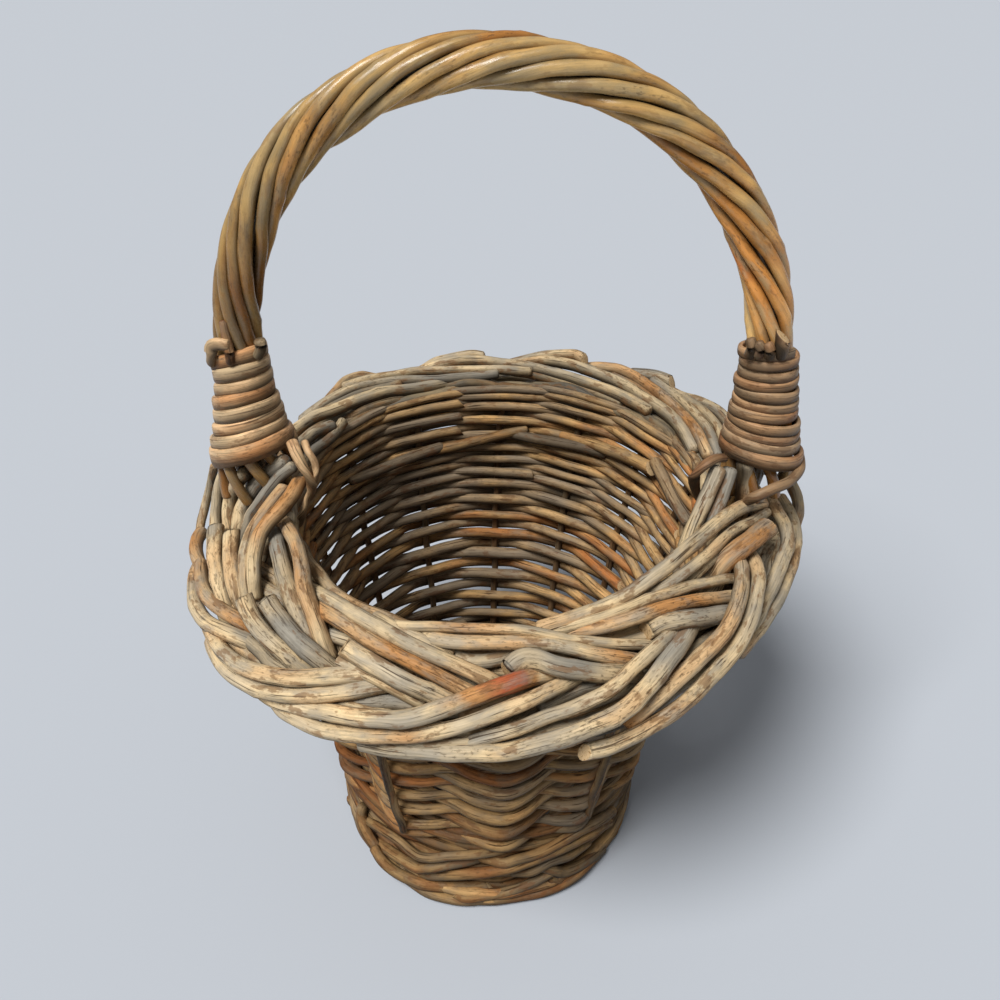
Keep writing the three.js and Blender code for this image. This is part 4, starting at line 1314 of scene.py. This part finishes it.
    def wale(self) -> tuple[list[Rod], list[Rod]]:
        """Makes the wale, whose rods pass two stakes outside and one inside.

        Its first round stays level and steps up at its end. From round to round more of the rise
        is spread evenly over the whole turn.

        Returns:
            The rods of the foot and those above it.
        """
        rng = np.random.default_rng(11)
        foot, above = [], []
        counts = np.arange(self.first_stake, self.first_stake + STAKES * self.wale_rounds)
        turns = (counts - self.first_stake) / STAKES
        rise = np.clip((turns % 1.0 - self.wale_level) / (1.0 - self.wale_level), 0.0, 1.0)
        climbed = turns / self.wale_rounds
        steps = (np.floor(turns) + rise) * (1 - climbed) + turns * climbed
        places = self.between(counts)
        front = np.clip(-1.6 * np.sin(stake_angle(counts)), 0.0, 1.0)
        inside, outside = self.wale_offsets
        for chain in range(3):
            cycle = (counts + chain) % 3
            sides = np.where(cycle == 0, -1.0, 1.0)
            heights = self.wale_foot + self.wale_rise * steps
            heights = heights + np.choose(cycle.astype(int), [0.0, self.wale_swing,
                                                              -self.wale_swing])
            offsets = np.where(cycle == 0, inside, outside - self.wale_drawn_in * front)
            around, level = (np.interp(places, counts, values)
                             for values in (circle_at(heights) + sides * offsets, heights))
            points = polar(around, stake_angle(places), level)
            made = self.rods(points, places, sides, np.full(len(points), self.wale_radius),
                             np.full(len(points), self.wale_tone), self.wale_mix, rng)
            for rod in made:
                (foot if rod.points[:, 2].mean() < self.foot_top else above).append(rod)
        # The hidden rods start at the back and overlap there.
        angle = np.linspace(0.25 * FULL_TURN, 1.27 * FULL_TURN, 60)
        for radius, height in self.foot_rings:
            points = polar(radius + 0.7 * np.sin(3 * angle), angle, height)
            foot.append(Rod(leaned(points), self.foot_radius, 0.5, 0.55, Cut.BOTH, wobble=0.3))
        return foot, above

    def randing(self) -> list[Rod]:
        """Makes the randing, two rods that take turns, every other stake each.

        The height of a row goes from the back's to the front's with the sine of the angle, and
        the distance from the stakes swings from inside to outside by the shares of outward.

        Returns:
            Its rods.
        """
        rng = np.random.default_rng(23)
        rods = []
        last = len(self.back_rows) - 1
        both = (self.back_rows, self.front_rows)
        for phase in range(2):
            counts = np.arange(self.first_stake, self.first_stake + STAKES * (last - phase / 2))
            row = (counts - self.first_stake) / STAKES + phase / 2
            front = 0.5 - 0.5 * np.sin(stake_angle(counts))
            levels = [np.interp(row, np.arange(last + 1), rows) for rows in both]
            steps = [np.interp(row, np.arange(last) + 0.5, np.diff(rows)) / 2 for rows in both]
            heights, pitch = (pair[0] * (1 - front) + pair[1] * front for pair in (levels, steps))
            sides = np.where((counts + phase) % 2 == 0, 1.0, -1.0)
            heights = heights + rng.normal(0, self.row_spread, len(row))
            places = self.between(counts)
            level, near, pitch = (np.interp(places, counts, v) for v in (heights, front, pitch))
            sag = self.sag_back * (1 - near) + self.sag_front * near
            level = level - sag * self.switched(sides, self.sagging)
            away = self.offset * self.switched(sides, self.outward)
            points = polar(circle_at(level) + away, stake_angle(places), level)
            outside = np.clip(away / self.offset, 0.0, 1.0)
            radius = (self.thickness[0] + self.thickness[1] * pitch) * (
                1.0 + self.thicker_outside * outside - self.thinner_inside * near * (1 - outside))
            # The tone holds painted shade: darker at the front, where the border shades the wall, and
            # outside at the back.
            tone = (self.inside_tone - self.front_painted_shade * near
                    - self.outside_painted_shade * outside * (1 - near))
            rods += self.rods(points, places, sides, radius, tone, self.randing_mix, rng)
        return rods

    def stakes(self) -> list[Rod]:
        """Makes the stakes between the legs of the bow.

        Returns:
            The stakes.
        """
        rng = np.random.default_rng(5)
        rods = []
        heights = np.linspace(*self.stake_heights, 9)
        for number in range(STAKES):
            if number in (0, LEFT_LEG):
                continue
            angle = stake_angle(number)
            points = leaned(polar(circle_at(heights), angle, heights))
            side = polar(1.0, angle + math.pi / 2, 0.0)
            rods.append(Rod(points, STAKE_RADIUS, rng.uniform(0.3, 0.9), rng.uniform(0.35, 0.55),
                            Cut.START, guide=side, wobble=0.35))
        return rods

    def dress(self, materials: Materials) -> None:
        """Dresses the stakes, the weave, the foot and the loose rods.

        Args:
            materials: Materials by finish.
        """
        bark, slot = materials[WEAVE], "weaving_willow"
        RodMesh("wall_stakes", 1, sides=10, spacing=2.5).dress(
            self.stakes(), materials[STAKE], "stake_willow", node_names("stake_"))
        foot_rods, wale_rods = self.wale()
        RodMesh("foot_wale", 2, spacing=1.8).dress(
            foot_rods + marked(FOOT_RODS), bark, slot, ["foot_rod_outer", "foot_rod_upper"])
        RodMesh("wall_weave", 3, sides=10, spacing=2.5).dress(
            wale_rods + self.randing() + marked(INSIDE_RODS), bark, slot,
            node_names("weaving_rod_"))
        for plan in (OUTER_LEFT, OUTER_RIGHT):
            RodMesh("loose_" + plan.name, 4).dress([VIEWPOINT.rod(plan, 0.3)], bark, slot,
                                                   [plan.name])


@dataclass
class Border:
    """The plaited border and the level rods it lies on.

    Attributes:
        strands: Strands of the hidden plait.
        strand_spacing: Distance between the three rods of a strand.
        swing: How far a strand swings across.
        crossings: How often it crosses round the rim.
        rise: How far it rises and sinks where strands cross.
        levels: Its height against the visible rods at the front, the side and the back.
        filler_radius: Radius of the hidden rods.
        narrowest: Degrees at which the border is narrowest, at the front right.
        narrow_reach: Degrees over which it widens again.
        narrowed: Share of its width that it loses there.
        back_inside: Share of its inner half that the hidden part of the border keeps at the back.
        back_shade: Share of their tone that the hidden rods keep at the back, as painted shade.
        lay_places: Distance across and height above of the level rods.
        lay_tone: Tone of the level rods.
        lay_wave: How far these rods stray.
    """

    strands: int = 3
    strand_spacing: float = 5.1
    swing: float = 14.0
    crossings: int = 4
    rise: float = 2.4
    levels: tuple[float, float, float] = (-6.5, -6.0, -2.0)
    filler_radius: float = 2.6
    narrowest: float = -45.0
    narrow_reach: float = 30.0
    narrowed: float = 0.42
    back_inside: float = 0.6
    back_shade: float = 0.25
    lay_places: tuple[tuple[float, float], ...] = (
        (-19.0, -3.0), (-14.0, -7.5), (-8.5, -9.0), (-3.0, -10.0), (3.0, -10.5), (9.0, -10.5),
        (15.0, -9.5), (19.0, -6.5), (-13.0, -2.5), (14.5, -4.0))
    lay_tone: float = 0.42
    lay_wave: float = 0.7

    def narrowing(self, angle: np.ndarray) -> np.ndarray:
        """Gives the share of its width that the border keeps at angles in radians."""
        turned = np.degrees(angle - math.radians(self.narrowest) + math.pi) % 360.0 - 180.0
        return 1.0 - self.narrowed * np.exp(-(turned / self.narrow_reach) ** 2)

    def drawn_in(self, angle: np.ndarray, across: np.ndarray) -> np.ndarray:
        """Draws distances across the border in, at the front right and inside at the back."""
        inside = np.interp(np.sin(angle), (0.0, 0.5), (1.0, self.back_inside))
        return across * self.narrowing(angle) * np.where(across < 0.0, inside, 1.0)

    def shade(self, angle: np.ndarray) -> np.ndarray:
        """Gives the share of their tone that the hidden rods keep, less at the back, as painted shade."""
        return np.interp(np.sin(angle), (0.1, 0.5), (1.0, self.back_shade))

    def filler(self) -> list[Rod]:
        """Makes the plait's deeper strands, all the way round.

        A strand swings across as the sine of a sine, which keeps it near the sides, and rises
        over the middle and sinks below it in turn.

        Returns:
            Their rods.
        """
        rng = np.random.default_rng(31)
        rods = []
        angle = np.linspace(0.0, FULL_TURN, 97)
        base = np.interp(np.sin(angle), [-1.0, 0.2, 1.0], self.levels)
        for strand in range(self.strands):
            swing = self.crossings * angle - math.pi / 2 + FULL_TURN * strand / self.strands
            rise = -np.sin(2 * swing)
            above = base + self.rise * np.sign(rise) * np.abs(rise) ** 0.5
            for side in (-1, 0, 1):
                across = self.swing * np.sin(np.sin(swing) * math.pi / 2)
                across = self.drawn_in(angle, across + side * self.strand_spacing)
                rods.append(Rod(border_point(angle, across, above), self.filler_radius,
                                rng.uniform(0.25, 0.7), rng.uniform(0.36, 0.52) * self.shade(angle),
                                guide=border_normal(angle), wobble=0.5))
        return rods

    def lay_rods(self) -> list[Rod]:
        """Makes the level rods under the plait.

        Returns:
            The rods.
        """
        rng = np.random.default_rng(37)
        rods = []
        for across, above in self.lay_places:
            start = rng.uniform(0.0, FULL_TURN)
            angle = np.linspace(start, start + FULL_TURN + 0.1, 70)
            place = self.drawn_in(angle, across) + self.lay_wave * np.sin(5 * angle + across)
            level = above + self.lay_wave * np.sin(3 * angle + above)
            rods.append(Rod(border_point(angle, place, level), self.filler_radius,
                            rng.uniform(0.2, 0.7), self.lay_tone * self.shade(angle), Cut.BOTH,
                            wobble=0.6))
        return rods

    def dress(self, materials: Materials) -> None:
        """Dresses the border.

        Args:
            materials: Materials by finish.
        """
        bark, slot = materials[BORDER], "border_willow"
        for name, seed, plans in (("border_front", 6, FRONT_RODS), ("border_back", 16, BACK_RODS)):
            RodMesh(name, seed, sides=14, spacing=1.4).dress(marked(plans), bark, slot,
                                                             node_names("border_rod_"))
        RodMesh("border_filler", 7, sides=10, spacing=2.2).dress(
            self.filler() + self.lay_rods(), bark, slot, node_names("lay_rod_"))


@dataclass(frozen=True)
class Grip:
    """The skein that is wound round one leg of the handle.

    Attributes:
        side: -1 for the left leg, 1 for the right.
        foot: Outer radius of the binding at its foot.
        top: Outer radius at its top.
        loops: Number of loops.
        half_height: Half the height of the skein.
        tilts: Slope of the first and the last loop, down to the outside.
        lift: Slope of the loops, up to the front.
        tone: Tone of the skein.
    """

    side: int
    foot: float
    top: float
    loops: float
    half_height: float
    tilts: tuple[float, float]
    lift: float
    tone: float


@dataclass
class Handle:
    """The roped handle and its bindings.

    Attributes:
        shoulder_height: Height at which the arch starts to bend.
        shoulder: Half the width of the arch there.
        rise: Height of the arch over its shoulders.
        splay_heights: Heights of the splay of the legs.
        splay: How much wider the legs stand at those heights.
        length: About the length of the rope, which spaces its points.
        rope_foot: Height at which the strands end, in the border.
        strands: Number of strands.
        strand_radius: Radius of a strand.
        rope_radius: Distance of the strands from the middle of the rope.
        rope_flare: Share of the binding's flare that the strands under it follow.
        turns: Turns of the strands over the whole arch.
        plain_height: Height above which both sides of the arch are of one tone.
        plain_reach: How far below it the legs have their own tone in full.
        left_darker: How much darker the left leg is.
        left_redder: How much redder it is.
        right_paler: How much paler the right leg is.
        grip_heights: Foot and top of the bindings.
        grip_power: Power with which a binding widens from its top to its foot.
        left_grip: The left binding.
        right_grip: The right binding.
        bow_heights: Foot and top of the bow's legs in the wall.
        bow_inset: How far inside the middle of the border they pass.
        bow_radius: Radius of the bow in the rope.
    """

    shoulder_height: float = 252.0
    shoulder: float = 96.3
    rise: float = 95.2
    splay_heights: tuple[float, ...] = (202.0, 230.0, 247.0, 262.0, 284.0)
    splay: tuple[float, ...] = (5.7, 4.4, 3.4, 2.1, 0.0)
    length: float = 420.0
    rope_foot: float = 184.0
    strands: int = 8
    strand_radius: float = 2.4
    rope_radius: float = 6.5
    rope_flare: float = 0.8
    turns: float = 3.0
    plain_height: float = 325.0
    plain_reach: float = 50.0
    left_darker: float = 0.4
    left_redder: float = 0.5
    right_paler: float = 0.42
    grip_heights: tuple[float, float] = (196.5, 249.0)
    grip_power: float = 1.8
    left_grip: Grip = Grip(-1, 19.0, 10.6, loops=8.2, half_height=3.2, tilts=(0.26, 0.13),
                           lift=0.3, tone=0.95)
    right_grip: Grip = Grip(1, 17.8, 11.2, loops=10.8, half_height=2.45, tilts=(0.24, 0.0),
                            lift=0.16, tone=1.0)
    bow_heights: tuple[float, float] = (12.0, 157.0)
    bow_inset: float = 3.4
    bow_radius: float = 4.2

    def half_width(self, height: np.ndarray) -> np.ndarray:
        """Gives half the width between the legs, below the bend, at heights over the floor."""
        return self.shoulder + np.interp(height, self.splay_heights, self.splay)

    def flare(self, height: np.ndarray) -> np.ndarray:
        """Gives the share of a binding's widening at heights over the floor, 1 at its foot."""
        foot, top = self.grip_heights
        return np.clip((top - height) / (top - foot), 0.0, 1.0) ** self.grip_power

    def arch(self, count: int) -> tuple[np.ndarray, np.ndarray]:
        """Gives the middle line of the arch, half an ellipse on two splayed legs.

        Args:
            count: Number of points.

        Returns:
            The points and their lengths along the arch, from the left foot to the right.
        """
        legs = np.linspace(self.rope_foot, self.shoulder_height, 6)[:-1]
        turn = math.pi * (1.0 - np.arange(17) / 16)
        left = np.stack([-self.half_width(legs), 0 * legs, legs], -1)
        rise = self.shoulder_height + self.rise * np.sin(turn)
        crown = np.stack([self.half_width(rise) * np.cos(turn), 0 * turn, rise], -1)
        right = left[::-1] * [-1.0, 1.0, 1.0]
        line, along, _ = smooth_line(np.concatenate([left, crown, right]), self.length / count)
        return line, along

    def spread(self, line: np.ndarray) -> np.ndarray:
        """Gives the distance of the strands from the middle of the rope.

        Args:
            line: Points of the middle line.

        Returns:
            The distance at each point.
        """
        left, right = self.left_grip, self.right_grip
        wider = np.where(line[:, 0] < 0, left.foot - left.top, right.foot - right.top)
        return self.rope_radius + self.rope_flare * wider * self.flare(line[:, 2])

    def rope(self) -> list[Rod]:
        """Makes the strands.

        A strand turns evenly round the middle line of the arch, at the distance of spread. Slow
        waves keep the strands from lying quite alike.

        Returns:
            The rods.
        """
        rng = np.random.default_rng(41)
        line, along = self.arch(110)
        tangent = unit(np.gradient(line, axis=0))
        outwards = np.stack([-tangent[:, 2], 0 * along, tangent[:, 0]], -1)
        spread = self.spread(line)
        rods = []
        for number in range(self.strands):
            turn = FULL_TURN * (number / self.strands + self.turns * along / along[-1])
            turn = turn + 0.07 * np.sin(along / 37.0 + number) + rng.uniform(-0.05, 0.05)
            reach = spread + 0.25 * np.sin(along / 23.0 + number * 2.3)
            points = (line + (reach * np.cos(turn))[:, None] * outwards
                      + (reach * np.sin(turn))[:, None] * BACKWARDS)
            radius = self.strand_radius * rng.uniform(0.93, 1.06) * (
                1 + 0.05 * np.sin(along / 53.0 + number * 2.0))
            hue = (rng.uniform(0.3, 0.7) + 0.15 * np.sin(along / 61.0 + number)
                   + 0.3 * points[:, 0] / self.shoulder)
            low = np.clip((self.plain_height - points[:, 2]) / self.plain_reach, 0.0, 1.0)
            left, right = low * (points[:, 0] < 0.0), low * (points[:, 0] > 0.0)
            tone = rng.uniform(0.36, 0.52) - self.left_darker * left + self.right_paler * right
            # Below the foot of the bindings the strands are painted dark: painted shade under the bindings.
            tone = np.where(points[:, 2] < self.grip_heights[0] + 4.0, 0.1, tone)
            # The first axis points out from the rope's middle, so the painted shade falls on the strands'
            # inner sides, between the strands.
            rods.append(Rod(leaned(points), radius, hue + self.left_redder * left, tone,
                            guide=points - line, wobble=0.2, knots=0.14))
        return rods

    def bow(self) -> Rod:
        """Makes the bow at the heart of the rope, with its legs in the wall.

        Returns:
            The rod.
        """
        heights = np.linspace(*self.bow_heights, 6)
        left = np.stack([-circle_at(heights), 0 * heights, heights], -1)
        cross = border_point(0.0, -self.bow_inset, 0.0)
        left = np.concatenate([left, [[-cross[0], 0.0, cross[2]]]])
        line, _ = self.arch(24)
        points = np.concatenate([left, line, left[::-1] * [-1.0, 1.0, 1.0]])
        radius = np.where(points[:, 2] < cross[2], STAKE_RADIUS + 0.2, self.bow_radius)
        return Rod(leaned(points), radius, 0.6, 0.35, Cut.BOTH, guide=BACKWARDS, wobble=0.1)

    def winding(self, grip: Grip) -> Rod:
        """Makes the skein that is wound round a leg.

        It is a screw line round the splayed leg, wider towards the foot. Each loop is sheared by
        its tilt to the side and its lift to the front, and starts thicker at the butt end.

        Args:
            grip: The binding.

        Returns:
            The rod.
        """
        foot, top = self.grip_heights
        count = int(grip.loops * 24)
        share = np.arange(count + 1) / count
        turn = FULL_TURN * grip.loops * share + 0.4
        height = foot + grip.half_height + (top - foot - 2 * grip.half_height) * share
        height = height + 0.35 * np.sin(turn * 0.63 + 1.0)
        leg = np.stack([grip.side * self.half_width(height), 0 * height, height], -1)
        thick = (0.38 * grip.half_height + 0.1) * (1.0 + np.exp(-share * 14))
        reach = grip.top + (grip.foot - grip.top) * self.flare(height) - thick
        reach = reach + 0.3 * np.sin(turn * 1.37) + 0.25 * np.sin(turn * 0.31)
        points = polar(reach, turn, 0.0) + leg
        tilt = np.interp(share, [0, 1], grip.tilts)
        points[:, 2] -= reach * (grip.side * tilt * np.cos(turn) + grip.lift * np.sin(turn))
        aspect = grip.half_height / float(np.mean(thick))
        return Rod(leaned(points), thick, 0.5 + 0.25 * np.sin(turn * 0.43), grip.tone,
                   aspect=aspect, power=2.9, wobble=0.2, knots=0.0)

    def dress(self, materials: Materials) -> None:
        """Dresses the handle and its bindings.

        Args:
            materials: Materials by finish.
        """
        RodMesh("bow_core", 8).dress([self.bow()], materials[HANDLE], "handle_willow",
                                     ["handle_bow"])
        RodMesh("handle_rope", 9, sides=16, spacing=1.6).dress(
            self.rope(), materials[HANDLE], "handle_willow", node_names("handle_strand_"))
        for side, seed, grip, plans, finish in (
                ("left", 10, self.left_grip, LEFT_TAILS + LEFT_ENDS, SKEIN_PALE),
                ("right", 12, self.right_grip, RIGHT_TAILS + RIGHT_ENDS, SKEIN_DARK)):
            RodMesh(side + "_wrap", seed, sides=16, spacing=1.2).dress(
                [self.winding(grip)] + marked(plans), materials[finish], "binding_willow",
                ["binding_" + side])


@dataclass
class Bottom:
    """The bottom: two pairs of crossed sticks and the rods woven round them.

    Attributes:
        reach: Half the length of a stick.
        gap: Distance of a stick from the middle of its pair.
        fan: How much it spreads at its ends.
        stick_radius: Radius of a stick.
        step: How far a pair lies above or below the other where they cross.
        level: Height of the middle of the bottom.
        outer: Radius of the outermost round.
        pitch: Distance between rounds.
        rounds: Rounds of each rod.
        swing: How far the rods pass over and under the sticks.
        rod_radius: Radius of these rods.
    """

    reach: float = 60.0
    gap: float = 4.2
    fan: float = 5.0
    stick_radius: float = 2.6
    step: float = 1.3
    level: float = 8.6
    outer: float = 59.5
    pitch: float = 9.2
    rounds: float = 5.2
    swing: float = 4.3
    rod_radius: float = 2.1

    def sticks(self) -> list[Rod]:
        """Makes the four sticks, which cross over each other in the middle.

        A stick rises or sinks there as the exponential of minus a fourth power, which is flat
        over the crossing, and fans out by a power of the way to its end.

        Returns:
            The sticks.
        """
        rng = np.random.default_rng(51)
        rods = []
        run = np.linspace(-self.reach, self.reach, 13)
        for along_x in (True, False):
            lift = self.level + (self.step if along_x else -self.step) * np.exp(-(run / 14.0) ** 4)
            for place in (-self.gap, self.gap):
                fan = place + np.sign(place) * self.fan * (np.abs(run) / self.reach) ** 1.6
                points = np.stack([run, fan, lift] if along_x else [fan, run, lift], -1)
                rods.append(Rod(leaned(points), self.stick_radius, rng.uniform(0.4, 0.6),
                                rng.uniform(0.45, 0.6), Cut.BOTH, aspect=0.85, power=2.6,
                                wobble=0.1))
        return rods

    def weave(self) -> list[Rod]:
        """Makes the two rods that pass over and under the sticks in turn.

        Each is an even spiral that runs inwards, with a clipped cosine of two periods a turn.

        Returns:
            The rods.
        """
        rods = []
        turn = np.linspace(0.0, FULL_TURN * self.rounds, 240)
        for phase in range(2):
            radius = self.outer - self.pitch * (turn / FULL_TURN + phase / 2)
            wave = np.clip(1.7 * np.cos(2 * turn + phase * math.pi), -1, 1)
            points = polar(radius, turn + 0.1, self.level + self.swing * wave)
            rods.append(Rod(leaned(points), self.rod_radius, 0.45, 0.5, Cut.BOTH, wobble=0.3))
        return rods

    def dress(self, materials: Materials) -> None:
        """Dresses the bottom.

        Args:
            materials: Materials by finish.
        """
        wood, slot = materials[BASE], "bottom_willow"
        RodMesh("base_sticks", 13).dress(self.sticks(), wood, slot, node_names("bottom_stick_"))
        RodMesh("base_weave", 14, sides=10).dress(
            self.weave(), wood, slot, [*node_names("bottom_rod_"), "foot_rod_inner"])


@dataclass
class Studio:
    """The floor, the light, the world and the camera.

    Attributes:
        floor_half: Half the width of the floor in metres.
        floor_colour: sRGB hex of the floor.
        floor_roughness: Its roughness.
        sky_colour: sRGB hex of the world.
        sky: Strength of the world.
        key: Direction that the key light comes from.
        key_power: Its strength.
        key_spread: Angle over which it spreads, which softens its shadows.
        sensor: Width of the camera's sensor.
    """

    floor_half: float = 6.0
    floor_colour: str = "#c4c9d0"
    floor_roughness: float = 0.9
    sky_colour: str = "#eef0f3"
    sky: float = 0.24
    key: tuple[float, float, float] = (-0.42, -0.46, 1.0)
    key_power: float = 3.1
    key_spread: float = 0.45
    sensor: float = 36.0

    def build(self) -> None:
        """Makes them all."""
        scene = bpy.context.scene
        mesh = bpy.data.meshes.new("studio_floor")
        corners = [(x * self.floor_half, y * self.floor_half, 0.0)
                   for x, y in ((-1, -1), (1, -1), (1, 1), (-1, 1))]
        mesh.from_pydata(corners, [], [(0, 1, 2, 3)])
        floor = bpy.data.objects.new("studio_floor", mesh)
        scene.collection.objects.link(floor)
        graph = NodeGraph("pale_floor")
        graph.shader.inputs["Base Color"].default_value = linear(self.floor_colour)
        graph.shader.inputs["Roughness"].default_value = self.floor_roughness
        mesh.materials.append(graph.material)
        world = bpy.data.worlds.new("studio")
        world.use_nodes = True
        background = world.node_tree.nodes["Background"]
        background.inputs["Color"].default_value = linear(self.sky_colour)
        background.inputs["Strength"].default_value = self.sky
        scene.world = world
        lamp = bpy.data.lights.new("key", "SUN")
        lamp.energy = self.key_power
        lamp.angle = self.key_spread
        light = bpy.data.objects.new("key", lamp)
        light.rotation_euler = Vector(self.key).to_track_quat("Z", "Y").to_euler()
        scene.collection.objects.link(light)
        lens = bpy.data.cameras.new("camera")
        lens.sensor_width = self.sensor
        lens.lens = self.sensor * VIEWPOINT.focal / (2.0 * VIEWPOINT.middle)
        camera = bpy.data.objects.new("camera", lens)
        camera.location = Vector(VIEWPOINT.place) * MM
        camera.rotation_euler = Vector(VIEWPOINT.aim).to_track_quat("-Z", "Y").to_euler()
        scene.collection.objects.link(camera)
        scene.camera = camera
        scene.view_settings.view_transform = "Standard"


def main() -> None:
    """Dresses the whole basket."""
    logging.basicConfig(level=logging.INFO)
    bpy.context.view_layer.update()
    finishes = (WEAVE, BORDER, HANDLE, SKEIN_PALE, SKEIN_DARK, STAKE, BASE)
    materials = {finish: willow(finish) for finish in finishes}
    for piece in (Wall(), Border(), Handle(), Bottom()):
        piece.dress(materials)
    Studio().build()


if __name__ == "__main__":
    main()
